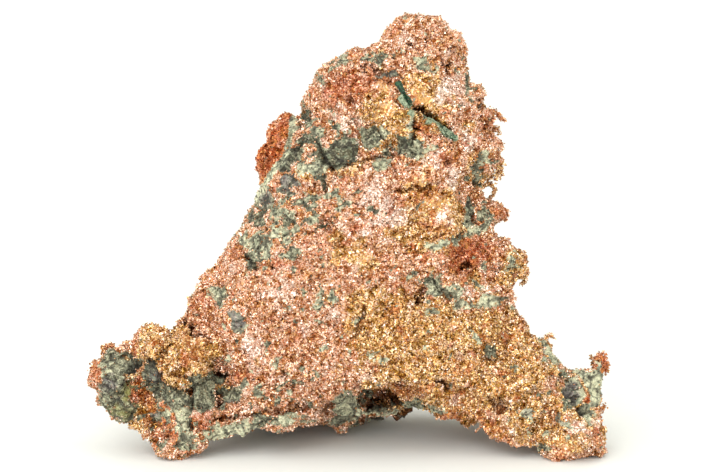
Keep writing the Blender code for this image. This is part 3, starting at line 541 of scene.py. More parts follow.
# Flat, smooth faces of the basalt; the value is how smooth
SLEEK = {
    "shoulder": (-10.7, 49.3, 1.6, 6.5, -22, 0.8),
    "olive_face": (-1.2, 49.2, 2.8, 2.2, 10, 0.7),
    "shoulder_pale": (-5.9, 46.6, 2.2, 1.2, 10, 0.6),
    "right_end": (42.0, 9.8, 2.2, 3.2, -8, 0.8),
    "left_end_facet": (-38.8, 13.4, 2.0, 1.6, -5, 0.7),
    "shelf_left": (-29.3, 7.1, 2.2, 1.6, -10, 0.6),
    "shelf_middle": (-24.6, 7.6, 2.0, 2.4, -14, 0.6),
    "shelf_right": (-19.3, 7.8, 1.9, 1.1, 8, 0.6),
    "knee_lobe": (24.6, 23.7, 1.6, 0.9, 5, 0.7),
    "recess": (0.2, 5.6, 1.6, 2.0, 0, 0.4),
    "right_end_top": (39.7, 11.0, 1.8, 1.3, -10, 0.7),
    "sole_strip": (-19.5, 1.2, 4.0, 1.2, 14, 0.4),
}

# Places where the surface stands out further; the value is how far
SWELLS = {
    "right_side": (43.6, 9.2, 1.5, 2.9, 0, 1.0),
    "right_rust": (40.7, 7.0, 0.9, 0.9, 0, 0.7),
    "left_low": (-34.9, 2.2, 2.6, 1.8, -25, 1.1),
    "left_low_tip": (-38.5, 4.1, 2.0, 1.2, -25, 0.7),
    "dome_right": (-23.5, 12.7, 1.7, 1.3, 0, 0.7),
}

# Thin hooks, wires and beads that stand out along the ragged edges: points across and up, their depth (None
# where they lie on the surface) and the radius of a bead
HOOKS = {
    "cheek_tip": (((24.9, 51.0), (26.1, 50.0), (25.4, 48.7)), -1.5, 0.6),
    "curl_tip": (((30.6, 28.8), (30.2, 27.4), (29.5, 26.6)), -2.5, 0.45),
    "spur_tip": (((24.6, 56.1), (25.8, 55.1), (26.6, 54.4)), -1.0, 0.5),
    "shelf_wire": (((33.6, 17.5), (34.4, 18.0), (35.1, 17.5)), -3.5, 0.42),
    "horn_low": (((43.1, 5.3), (43.7, 6.1)), -5.0, 0.5),
    "dome_bead": (((-33.9, 19.8), (-34.4, 18.4)), -5.0, 0.40),
    "left_edge_bead": (((-24.6, 25.4), (-25.6, 24.4), (-25.4, 23.2)), -2.5, 0.45),
    "cheek_low": (((23.9, 48.7), (25.6, 47.6), (25.9, 45.9), (25.3, 44.3)), -1.0, 0.85),
    "cheek_inner": (((23.2, 47.6), (24.1, 45.9), (24.1, 44.1)), -1.0, 0.9),
    "gap_chain": (((24.1, 43.7), (25.1, 42.7), (24.6, 41.5), (23.9, 40.9)), -1.0, 0.42),
    "knuckle_edge": (((25.4, 40.2), (27.0, 39.0), (26.8, 37.6)), -1.5, 0.6),
    "spur_low": (((25.1, 53.2), (25.9, 52.1)), -1.0, 0.5),
    "horn": (((42.6, 12.7), (42.2, 13.9), (43.1, 14.3), (43.4, 13.4), (43.7, 12.1)), -5.0, 0.95),
    "left_tip": (((-42.5, 10.7), (-43.0, 12.1), (-42.5, 13.6)), -4.6, 0.7),
    "left_arm": (((-41.2, 14.4), (-41.2, 15.6), (-40.2, 16.3), (-39.3, 15.9)), -4.6, 0.6),
    "left_bead": (((-38.3, 15.1), (-37.4, 15.4), (-36.6, 14.9)), -4.6, 0.5),
    "stone_ridge": (((39.2, 10.9), (40.2, 9.2), (41.0, 7.6)), None, 0.34),
    "stone_rust": (((40.4, 7.0), (41.0, 7.0)), None, 0.75),
    "stone_rim": (((36.5, 10.5), (37.6, 11.0), (38.8, 11.2)), None, 0.42),
}

# Slim crystals in the upper slots: both ends across and up, then width and depth, and how pale
CRYSTALS = {
    "high_rod": ((8.6, 60.7), (10.9, 57.1), 1.1, 1.1, -0.15),
    "high_rod_side": ((9.1, 58.3), (10.1, 56.8), 1.1, 1.1, 0.75),
    "high_rod_foot": ((9.6, 57.7), (10.7, 56.6), 1.2, 1.0, 0.6),
    "low_rib_top": ((10.5, 55.8), (14.3, 54.1), 1.0, 1.0, 0.85),
    "low_rib": ((13.6, 54.4), (16.8, 52.6), 1.2, 1.1, 0.75),
    "low_rib_end": ((15.9, 52.9), (18.5, 51.2), 1.6, 1.2, 0.50),
}

# The zones on the skin; the gap and dark zones carry painted shade, and the zone of pale copper carries
# painted highlights too.
ZONES = ("basalt", "tone", "gold", "red", "bright", "smooth", "lilac", "stain", "dark", "gap")


# ---- Settings ----


def length(name, description, millimetres):
    return bpy.props.FloatProperty(
        name=name, description=description, default=millimetres * MM, unit="LENGTH"
    )


def number(name, description, count):
    return bpy.props.IntProperty(name=name, description=description, default=count)


def tint(name, description, *colour):
    return bpy.props.FloatVectorProperty(
        name=name, description=description, default=(*colour, 1), subtype="COLOR", size=4
    )


def strength(name, description, amount):
    return bpy.props.FloatProperty(name=name, description=description, default=amount, min=0.0)


def angle(name, description, degrees):
    return bpy.props.FloatProperty(
        name=name, description=description, default=math.radians(degrees), subtype="ANGLE"
    )


class SkinSettings(bpy.types.PropertyGroup):
    """Sizes of the skin that is laid over the solid."""

    cell: length("Cell", "Width of the skin's faces", 0.37)
    lumps: length("Lumps", "Height of the rounded lumps", 0.34)
    hackles: length("Hackles", "Height of the sharp hackles", 0.36)
    knots: length("Knots", "Height of the small round knots", 0.22)
    blocks: length("Blocks", "Height of the basalt's angular blocks", 0.55)
    sunk: length("Sunk", "How far the skin lies inside the solid, to leave room for the grains", 0.12)
    jitter: length("Jitter", "How far a point of the copper moves at random", 0.10)
    seed: number("Seed", "Start of the random draws", 7)


class GrainSettings(bpy.types.PropertyGroup):
    """Number and size of the copper grains and the basalt crumbs."""

    pieces: number("Pieces", "How many meshes hold the copper grains", 3)
    count: number("Count", "Copper grains in each mesh", 48000)
    small: length("Small", "Radius of the small grains", 0.12)
    large: length("Large", "Radius of the large grains", 0.36)
    crumbs: number("Crumbs", "Grains of basalt", 22000)
    seed: number("Seed", "Start of the random draws", 11)


class FinishSettings(bpy.types.PropertyGroup):
    """Colours of the copper and the basalt."""

    pink: tint("Pink copper", "Fresh copper", 0.91, 0.60, 0.445)
    gold: tint("Golden copper", "Lightly tarnished copper", 0.94, 0.64, 0.32)
    film: tint("Smooth copper", "Smooth films of golden copper", 0.62, 0.32, 0.11)
    # The palest copper, also the colour of the painted highlights and glints.
    pale_highlight: tint("Pale highlight copper", "The palest copper", 1.0, 0.86, 0.79)
    red: tint("Red copper", "Copper under red oxide", 0.62, 0.185, 0.058)
    # The next two colours are painted shade, laid in the low places between the grains and in small random
    # specks; the first is for pink copper and the second for golden copper.
    gap_shade: tint("Gap shade copper", "Copper low between the grains", 0.50, 0.22, 0.055)
    gap_shade_gold: tint("Gap shade gold", "Golden copper low between the grains", 0.38, 0.185, 0.016)
    # Dark copper is painted shade in the pits and cracks, and it also darkens a few grains picked at random.
    dark: tint("Dark copper", "Copper deep in the pits", 0.17, 0.060, 0.020)
    olive: tint("Olive basalt", "The darkest basalt", 0.070, 0.062, 0.030)
    pale: tint("Pale basalt", "The palest basalt", 0.74, 0.72, 0.50)


class StudioSettings(bpy.types.PropertyGroup):
    """The floor and the lights."""

    floor_radius: length("Floor radius", "Radius of the floor", 3000.0)
    ceiling: strength("Ceiling", "Strength of the wide light overhead", 1.52)
    ceiling_width: angle("Ceiling width", "How wide the light overhead looks", 90)
    front: strength("Front", "Strength of the wide light in front", 1.76)
    front_width: angle("Front width", "How wide the light in front looks", 50)
    side_power: bpy.props.FloatProperty(
        name="Side power", description="Power of each strip at the sides", default=0.5, unit="POWER"
    )
    room: strength("Room", "Strength of the light from all round", 0.78)


class NuggetSettings(bpy.types.PropertyGroup):
    """Everything that a user would change."""

    skin: bpy.props.PointerProperty(type=SkinSettings)
    grains: bpy.props.PointerProperty(type=GrainSettings)
    finish: bpy.props.PointerProperty(type=FinishSettings)
    studio: bpy.props.PointerProperty(type=StudioSettings)


def settings():
    return bpy.context.scene.nugget


# ---- Places on the front ----


def camera_axes():
    """The direction from the target to the camera, and the camera's up."""
    lift = math.radians(CAMERA_ELEVATION)
    back = np.array((0.0, -math.cos(lift), math.sin(lift)))
    up = np.array((0.0, math.sin(lift), math.cos(lift)))
    return back, up


def front_sheet(points):
    """Where points lie as seen from the front: across and up, in millimetres."""
    back, up = camera_axes()
    target = np.array(CAMERA_TARGET) * MM
    ray = points - (target + back * CAMERA_DISTANCE * MM)
    scale = CAMERA_DISTANCE * MM / -(ray @ back)
    across = ray[:, 0] * scale / MM + SHEET_MIDDLE[0]
    height = (ray @ up) * scale / MM + SHEET_MIDDLE[1]
    return np.stack((across, height), 1)


def off_the_sheet(across, height, depth):
    """The point seen at this place on the front, with this y, in metres."""
    back, up = camera_axes()
    target = np.array(CAMERA_TARGET) * MM
    eye = target + back * CAMERA_DISTANCE * MM
    right = np.array((1.0, 0.0, 0.0))
    seen = target + (right * (across - SHEET_MIDDLE[0]) + up * (height - SHEET_MIDDLE[1])) * MM
    ray = seen - eye
    return eye + ray * ((depth * MM - eye[1]) / ray[1])


def inside(sheet, across, up, half_width, half_height, lean):
    """How far each place is inside an ellipse, in millimetres; outside it is negative."""
    turn = math.radians(lean)
    dx, dy = sheet[:, 0] - across, sheet[:, 1] - up
    u = (dx * math.cos(turn) + dy * math.sin(turn)) / half_width
    v = (dy * math.cos(turn) - dx * math.sin(turn)) / half_height
    return (1 - np.sqrt(u * u + v * v)) * min(half_width, half_height)


def smoothstep(low, high, values):
    """Rises gently from 0 at the low value to 1 at the high one."""
    t = np.clip((values - low) / (high - low), 0, 1)
    return t * t * (3 - 2 * t)


def patches(sheet, table, softness):
    """The strongest of the table's patches at each place, each times its value."""
    best = np.zeros(len(sheet))
    for *ellipse, value in table.values():
        best = np.maximum(best, value * smoothstep(-softness, softness, inside(sheet, *ellipse)))
    return best


def along(sheet, line):
    """The distance from each place to a bent line, in millimetres."""
    best = np.full(len(sheet), np.inf)
    for start, end in zip(line, line[1:]):
        a, run = np.array(start), np.array(end) - np.array(start)
        t = np.clip((sheet - a) @ run / (run @ run), 0, 1)
        best = np.minimum(best, np.linalg.norm(sheet - a - t[:, None] * run, axis=1))
    return best


def cloud(points, size, shift=0.0):
    """Smooth noise between about -1 and 1, with features of this size in millimetres."""
    places = points / (size * MM) + (shift, 0.0, 0.0)
    return np.array([noise.noise(place) for place in places.tolist()])


def cells(points, size):
    """Splits space into cells this far apart, in millimetres. Returns how far each place is from its cell's
    middle and from the cell's edge, how its tilted cell lies there, and the cell's own share of 0 to 1."""
    rows = []
    for place in (points / (size * MM)).tolist():
        (near, second, *_), (middle, *_) = noise.voronoi(place)
        turn = noise.cell_vector(middle)
        slope = sum((a - b) * (c - 0.5) for a, b, c in zip(place, middle, turn))
        rows.append((near, second - near, slope, turn.x))
    return np.array(rows).T


# ---- Meshes ----


def read(mesh, name):
    """The mesh's values under this name."""
    values = np.zeros(len(mesh.attributes[name].data))
    mesh.attributes[name].data.foreach_get("value", values)
    return values


def write(mesh, name, values, domain="POINT"):
    """Keeps values on the mesh under this name."""
    layer = mesh.attributes.new(name, "FLOAT", domain)
    layer.data.foreach_set("value", np.ascontiguousarray(values, np.float32))


def at_vertices(mesh, kind):
    """The vertices' places ("co") or normals ("normal"), a row for each."""
    values = np.zeros(len(mesh.vertices) * 3)
    mesh.vertices.foreach_get(kind, values)
    return values.reshape(-1, 3)


def mesh_of(bm, name):
    """Turns what was built into a mesh."""
    mesh = bpy.data.meshes.new(name)
    bm.to_mesh(mesh)
    bm.free()
    return mesh


def link(name, data):
    """A new object in the scene."""
    obj = bpy.data.objects.new(name, data)
    bpy.context.scene.collection.objects.link(obj)
    return obj


def dress(obj, material):
    """Gives a piece its material and lets it move with the nugget."""
    obj.data.materials.append(material)
    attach(obj, BODY)


# ---- The skin ----


def front_stone(sheet, ragged, warp):
    """How much basalt there is at each place on the front, and its tone."""
    stone = np.zeros(len(sheet))
    tone = np.full(len(sheet), 0.5)
    for *ellipse, value in BASALT.values():
        cover = smoothstep(-0.30, 0.30, inside(ragged, *ellipse))
        tone = np.where(cover > stone, value, tone)
        stone = np.maximum(stone, cover)
    for line, half_width, value in STRIPS.values():
        cover = smoothstep(-0.12, 0.12, half_width - along(sheet + 0.12 * warp, line))
        tone = np.where(cover > 0.5, value, tone)
        stone = np.maximum(stone, cover)
    return stone, tone


def front_dents(sheet, ragged, warp):
    """How deep the pits and cracks are at each place on the front, in millimetres."""
    dents = np.zeros(len(sheet))
    for *ellipse, depth in PITS.values():
        dents = np.maximum(dents, depth * smoothstep(-0.25, 0.30, inside(ragged, *ellipse)))
    for line, half_width, depth in CRACKS.values():
        wandering = along(sheet + warp * 0.6, line)
        dents = np.maximum(dents, depth * smoothstep(-0.2, 0.2, half_width - wandering))
    return dents


def place_zones(points, normals):
    """Splits the surface into copper and basalt and their shades. Returns each zone's value at each point and
    how deep the surface is dented there. What faces away from the front gets its zones from the clouds."""
    clouds = {name: cloud(points, *kind) for name, kind in ZONE_CLOUDS.items()}
    warp = np.stack((clouds["bend_across"], clouds["bend_up"]), 1) * 1.1
    warp += np.stack((clouds["fray_across"], clouds["fray_up"]), 1) * 0.8
    sheet = front_sheet(points)
    ragged = sheet + warp
    facing = smoothstep(-0.45, -0.10, -normals[:, 1] + 0.15 * normals[:, 2])

    def both(front, hidden):
        return facing * front + (1 - facing) * hidden

    fine, spots, sides = clouds["fine"], clouds["spots"], clouds["sides"]
    crumbled = 0.75 * fine + spots
    mosaic = clouds["mosaic"] + 0.7 * clouds["mosaic_fine"]
    pale_mosaic = clouds["pale_mosaic"] + 0.8 * clouds["pale_mosaic_fine"]
    broad = clouds["broad"] + 0.5 * clouds["broad_fine"]

    mixed = patches(ragged, MIXED, softness=2.5)
    red = patches(ragged, RED, softness=0.8)
    gilt = patches(ragged, GILT, softness=0.35)
    gold = patches(sheet, GOLDEN, softness=4.0)
    # Pale copper and painted highlights.
    bright = patches(ragged, PALE_AND_HIGHLIGHT, softness=1.5)
    stone, tone = front_stone(sheet, ragged, warp)
    scattered = crumbled - 0.62 + 0.95 * mixed - 0.4 * red - 0.6 * gilt - 0.25 * gold
    stone = np.maximum(stone, smoothstep(-0.1, 0.1, scattered))
    sleek = patches(sheet, SLEEK, softness=0.4) * stone

    hidden_stone = smoothstep(-0.1, 0.1, broad + 0.45 * crumbled - 0.30)
    hidden_tone = np.clip(0.5 + clouds["hidden_tone"], 0, 1)
    hidden_gold = smoothstep(-0.1, 0.4, sides) * 0.8
    hidden_red = smoothstep(0.15, 0.4, -sides - 0.2 * fine) * 0.8
    hidden_smooth = smoothstep(0.45, 0.6, clouds["hidden_smooth"]) * 0.8
    hidden_lilac = smoothstep(0.3, 0.5, clouds["hidden_lilac"]) * 0.6
    hidden_dents = smoothstep(0.42, 0.60, clouds["hidden_dents"]) * 0.9
    stray_red = smoothstep(0.38, 0.52, spots - 0.15 * mosaic) * 0.7

    dents = both(front_dents(sheet, ragged, warp), hidden_dents)
    dents = dents - both(patches(sheet, SWELLS, softness=0.6), 0.0)
    return {
        "basalt": both(stone, hidden_stone),
        "tone": np.clip(both(tone, hidden_tone) + 0.3 * pale_mosaic, 0, 1),
        "gold": smoothstep(0.15, 0.80, 1.1 * both(gold, hidden_gold) + 0.6 * mosaic),
        "red": np.maximum(both(red, hidden_red), stray_red),
        "bright": smoothstep(0.25, 0.85, both(bright, 0.15) + 0.8 * pale_mosaic),
        "smooth": both(np.maximum(gilt, sleek), hidden_smooth),
        "lilac": both(patches(ragged, LILAC, softness=0.4), hidden_lilac),
        "stain": both(patches(ragged, STAINED, softness=0.5), 0.0),
        # The dark zone is painted shade: the deeper a pit or crack is cut, the darker it is painted.
        "dark": np.clip(dents / 1.1, 0, 1),
    }, dents


def relief(points, normals, zones, dents, rng):
    """How far each point of the skin moves, in metres along x, y and z. Adds the zone of the gaps: painted
    shade that darkens the low places between the copper's grains and along the joints of the basalt's blocks.
    """
    sizes = settings().skin
    basalt, copper = zones["basalt"], 1 - zones["basalt"]
    rough = 1 - 0.85 * zones["smooth"]
    lumps, hackles, grit = (cloud(points, *kind) for kind in RELIEF_CLOUDS.values())
    near, *_ = cells(points, KNOT_SPACING)
    knots = 0.45 - near
    ridged = 0.35 - 2 * np.abs(hackles)
    hackles = (ridged * sizes.hackles + knots * sizes.knots) * copper * rough
    _, edge, slope, share = cells(points, BLOCK_SPACING)
    joint = 1 - smoothstep(0.0, 0.16, edge)
    blocks = (slope + 0.5 * (share - 0.5) - 0.35 * joint) * sizes.blocks * rough
    # The gap zone is painted shade: the low places between the grains and the joints between the blocks get a
    # darker colour where shadow would fall.
    between_grains = smoothstep(0.10, 0.55, -(0.8 * ridged + knots)) * copper * rough
    between_blocks = (1 - smoothstep(0.05, 0.16, edge)) * basalt
    zones["gap"] = np.maximum(between_grains, between_blocks)
    grit = grit * (0.18 + 0.10 * copper * rough) * MM
    height = lumps * sizes.lumps + hackles + blocks * basalt + grit - dents * MM - sizes.sunk
    jitter = sizes.jitter * copper * rough + 0.03 * MM
    return normals * height[:, None] + rng.normal(0, 1, points.shape) * jitter[:, None]


def solid_mesh():
    """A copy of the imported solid's mesh, with its doubled corners merged."""
    bm = bmesh.new()
    bm.from_mesh(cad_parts[NODE].data)
    bmesh.ops.remove_doubles(bm, verts=bm.verts, dist=1e-6)
    return mesh_of(bm, "solid")


def fine_skin():
    """The solid's surface in small faces, eased so that the solid's facets don't show, as a mesh alone."""
    obj = link("solid", solid_mesh())
    small_faces = obj.modifiers.new("small_faces", "REMESH")
    small_faces.mode = "VOXEL"
    small_faces.voxel_size = settings().skin.cell
    eased = obj.modifiers.new("eased", "SMOOTH")
    eased.factor = 0.5
    eased.iterations = 2
    mesh = bpy.data.meshes.new_from_object(obj.evaluated_get(bpy.context.evaluated_depsgraph_get()))
    bpy.data.objects.remove(obj)
    mesh.name = SKIN
    return mesh


def half(whole, name, front):
    """The faces of the skin on one side of the split, as an object."""
    bm = bmesh.new()
    bm.from_mesh(whole)
    away = [face for face in bm.faces if (face.calc_center_median().y < SPLIT * MM) != front]
    bmesh.ops.delete(bm, geom=away, context="FACES")
    return link(name, mesh_of(bm, name))


def skin_tree():
    """The finished skin, for finding what lies nearest or behind."""
    skin = bpy.data.meshes[SKIN]
    faces = [list(face.vertices) for face in skin.polygons]
    return BVHTree.FromPolygons(at_vertices(skin, "co").tolist(), faces)


def nearest_depth(tree, across, up):
    """The y of the surface seen at this place on the front, in millimetres."""
    near = Vector(off_the_sheet(across, up, -30.0))
    far = Vector(off_the_sheet(across, up, 10.0))
    hit = tree.ray_cast(near, (far - near).normalized())
    if hit[0] is None:
        raise RuntimeError(f"nothing lies behind {across}, {up}")
    return hit[0].y / MM


class NUGGET_OT_skin(bpy.types.Operator):
    """Lay the skin of copper and basalt over the solid"""

    bl_idname = "nugget.skin"
    bl_label = "Skin"

    def execute(self, context):
        rng = np.random.default_rng(settings().skin.seed)
        mesh = fine_skin()
        points, normals = at_vertices(mesh, "co"), at_vertices(mesh, "normal")
        zones, dents = place_zones(points, normals)
        moved = points + relief(points, normals, zones, dents, rng)
        moved[:, 2] = np.maximum(moved[:, 2], 0.0)
        mesh.vertices.foreach_set("co", np.ascontiguousarray(moved, np.float32).ravel())
        mesh.update()
        for name in ZONES:
            write(mesh, name, zones[name])
        write(mesh, "shade", rng.random(len(mesh.polygons)), "FACE")
        mesh.shade_flat()
        material = skin_material()
        for name, front in (("nugget_front", True), ("nugget_back", False)):
            obj = half(mesh, name, front)
            dress(obj, material)
            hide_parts(NODE)
        return {"FINISHED"}


# ---- The grains ----

TETRAHEDRON = np.array(((1, 1, 1), (1, -1, -1), (-1, 1, -1), (-1, -1, 1)), float) / math.sqrt(3)
TETRAHEDRON_FACES = np.array(((0, 1, 2), (0, 3, 1), (0, 2, 3), (1, 3, 2)))
SHORTEST, LONGEST = 0.6, 1.25  # how far a grain is stretched each way


def random_turns(count, rng):
    """Random rotation matrices, from random quaternions."""
    q = rng.normal(0, 1, (count, 4))
    w, x, y, z = (q / np.linalg.norm(q, axis=1)[:, None]).T
    rows = (
        (1 - 2 * (y * y + z * z), 2 * (x * y - z * w), 2 * (x * z + y * w)),
        (2 * (x * y + z * w), 1 - 2 * (x * x + z * z), 2 * (y * z - x * w)),
        (2 * (x * z - y * w), 2 * (y * z + x * w), 1 - 2 * (x * x + y * y)),
    )
    return np.array(rows).transpose(2, 0, 1)


def lay_grains(name, centres, radii, zones, material, rng):
    """One piece of separate four-faced grains, each stretched and turned at random, with a shade of its own
    and its values in the zones."""
    count, corners = len(radii), len(TETRAHEDRON)
    stretch = rng.uniform(SHORTEST, LONGEST, (count, 1, 3))
    shapes = TETRAHEDRON[None] * stretch * radii[:, None, None]
    shapes = np.einsum("nij,nkj->nki", random_turns(count, rng), shapes) + centres[:, None]
    faces = (np.arange(count) * corners)[:, None, None] + TETRAHEDRON_FACES[None]
    mesh = bpy.data.meshes.new(name)
    mesh.from_pydata(shapes.reshape(-1, 3), [], faces.reshape(-1, 3))
    for zone, values in zones.items():
        write(mesh, zone, np.repeat(values, corners))
    write(mesh, "shade", np.repeat(rng.random(count), len(TETRAHEDRON_FACES)), "FACE")
    mesh.shade_flat()
    dress(link(name, mesh), material)


def scatter(mesh, points, weights, count, rng):
    """Random places on the mesh's triangles, more where the weight is high. Returns the corners of each one's
    triangle and their shares."""
    triangles = np.zeros(len(mesh.loop_triangles) * 3, np.int32)
    mesh.loop_triangles.foreach_get("vertices", triangles)
    triangles = triangles.reshape(-1, 3)
    a, b, c = (points[triangles[:, i]] for i in range(3))
    area = np.linalg.norm(np.cross(b - a, c - a), axis=1)
    chance = area * weights[triangles].mean(1)
    picked = rng.choice(len(triangles), count, p=chance / chance.sum())
    u, v = rng.random(count), rng.random(count)
    fold = u + v > 1
    u, v = np.where(fold, 1 - u, u), np.where(fold, 1 - v, v)
    return triangles[picked], np.stack((1 - u - v, u, v), 1)


def grow_grains(name, zones, weights, radii, material, rng):
    """Scatters one piece of grains over the skin."""
    skin = bpy.data.meshes[SKIN]
    points = at_vertices(skin, "co")
    corners, shares = scatter(skin, points, weights, len(radii), rng)

    def between(values):
        return (values[corners] * shares.reshape(shares.shape + (1,) * (values.ndim - 1))).sum(1)

    out = between(at_vertices(skin, "normal"))
    centres = between(points) + out * (radii * rng.uniform(-0.3, 0.7, len(radii)))[:, None]
    centres[:, 2] = np.maximum(centres[:, 2], radii * LONGEST)
    here = {zone: between(values) for zone, values in zones.items()}
    lay_grains(name, centres, radii, here, material, rng)


class NUGGET_OT_grains(bpy.types.Operator):
    """Scatter the copper grains and the basalt crumbs over the skin"""

    bl_idname = "nugget.grains"
    bl_label = "Grains"

    def execute(self, context):
        sizes = settings().grains
        rng = np.random.default_rng(sizes.seed)
        skin = bpy.data.meshes[SKIN]
        skin.calc_loop_triangles()
        zones = {name: read(skin, name) for name in ZONES}
        weights = (1 - 0.97 * zones["basalt"]) * (1 - 0.94 * zones["smooth"])
        weights *= (1 - 0.93 * zones["dark"]) * (1 - 0.5 * zones["gap"])
        for piece in range(sizes.pieces):
            radii = sizes.small + (sizes.large - sizes.small) * rng.random(sizes.count) ** 2.2
            grow_grains(f"copper_grains_{piece + 1}", zones, weights, radii, grain_material(), rng)
        radii = sizes.small + (0.7 * sizes.large - sizes.small) * rng.random(sizes.crumbs) ** 1.5
        weights = np.maximum(zones["basalt"] - 0.5 * zones["gap"], 0.0) * (1 - 0.8 * zones["smooth"])
        grow_grains("basalt_crumbs", zones, weights, radii, crumb_material(), rng)
        return {"FINISHED"}


# ---- Hooks and beads along the edges ----

HOOK_SEED = 5

# The grains of a hook, its core and its coat: spacing, spread, and smallest and largest size, in bead radii
HOOK_GRAINS = ((0.45, 0.20, 0.75, 1.0), (0.035, 0.75, 0.25, 0.55))


def hook_grains(tree, line, depth, radius, rng):
    """Middles and radii of one hook's grains. The hook starts at the skin's nearest place."""
    route = []
    for across, up in line:
        y = nearest_depth(tree, across, up) if depth is None else depth
        route.append(off_the_sheet(across, up, y))
    root, *_ = tree.find_nearest(Vector(route[0]))
    route.insert(0, np.array(root))
    middles, radii = [], []
    for start, end in zip(route, route[1:]):
        distance = np.linalg.norm(end - start) / MM
        for spacing, spread, low, high in HOOK_GRAINS:
            count = max(2, round(distance / (spacing * radius)))
            share = rng.random((count, 1))
            astray = rng.normal(0, spread * radius * MM * 0.6, (count, 3))
            middles.append(start + (end - start) * share + astray)
            radii.append(rng.uniform(low, high, count) * radius * MM)
    return np.concatenate(middles), np.concatenate(radii)


class NUGGET_OT_hooks(bpy.types.Operator):
    """Build the thin hooks and beads along the ragged edges"""

    bl_idname = "nugget.hooks"
    bl_label = "Edge hooks"

    def execute(self, context):
        rng = np.random.default_rng(HOOK_SEED)
        tree = skin_tree()
        made = [hook_grains(tree, *hook, rng) for hook in HOOKS.values()]
        middles, radii = (np.concatenate(part) for part in zip(*made))
        zones = dict.fromkeys(ZONES, np.zeros(len(radii)))
        zones["red"] = patches(front_sheet(middles), RED, softness=0.8)
        zones["gold"] = np.full(len(radii), 0.6)
        lay_grains("edge_hooks", middles, radii, zones, grain_material(), rng)
        return {"FINISHED"}


# ---- Green crystals ----

CRYSTAL_SEED = 3
CRYSTAL_OUT = 0.30  # how far a crystal's middle stands out of the skin, in millimetres
CRYSTAL_DENTS = 0.075  # how far its points stray, in widths


class NUGGET_OT_crystals(bpy.types.Operator):
    """Build the slim green crystals in the upper slots"""

    bl_idname = "nugget.crystals"
    bl_label = "Green crystals"

    def execute(self, context):
        rng = np.random.default_rng(CRYSTAL_SEED)
        tree = skin_tree()
        bm = bmesh.new()
        paleness = []
        for start, end, across, deep, pale in CRYSTALS.values():
            depths = [nearest_depth(tree, *place) - CRYSTAL_OUT for place in (start, end)]
            ends = [Vector(off_the_sheet(*place, depth)) for place, depth in zip((start, end), depths)]
            axis = ends[1] - ends[0]
            turn = axis.to_track_quat("Z", "Y").to_matrix().to_4x4()
            place = Matrix.Translation((ends[0] + ends[1]) / 2) @ turn
            size = Matrix.Diagonal((across * MM, deep * MM, axis.length, 1))
            before = len(bm.verts)
            made = bmesh.ops.create_cone(
                bm, cap_ends=True, segments=6, radius1=0.5, radius2=0.36, depth=1.0, matrix=place @ size
            )
            edges = {edge for vertex in made["verts"] for edge in vertex.link_edges}
            bmesh.ops.subdivide_edges(bm, edges=list(edges), cuts=4, use_grid_fill=True)
            bm.verts.ensure_lookup_table()
            for vertex in bm.verts[before:]:
                vertex.co += Vector(rng.normal(0, CRYSTAL_DENTS * across * MM, 3))
            paleness += [pale] * (len(bm.verts) - before)
        mesh = mesh_of(bm, "green_crystals")
        write(mesh, "pale", paleness)
        mesh.shade_flat()
        dress(link("green_crystals", mesh), crystal_material())
        return {"FINISHED"}


# ---- Shared effects ----


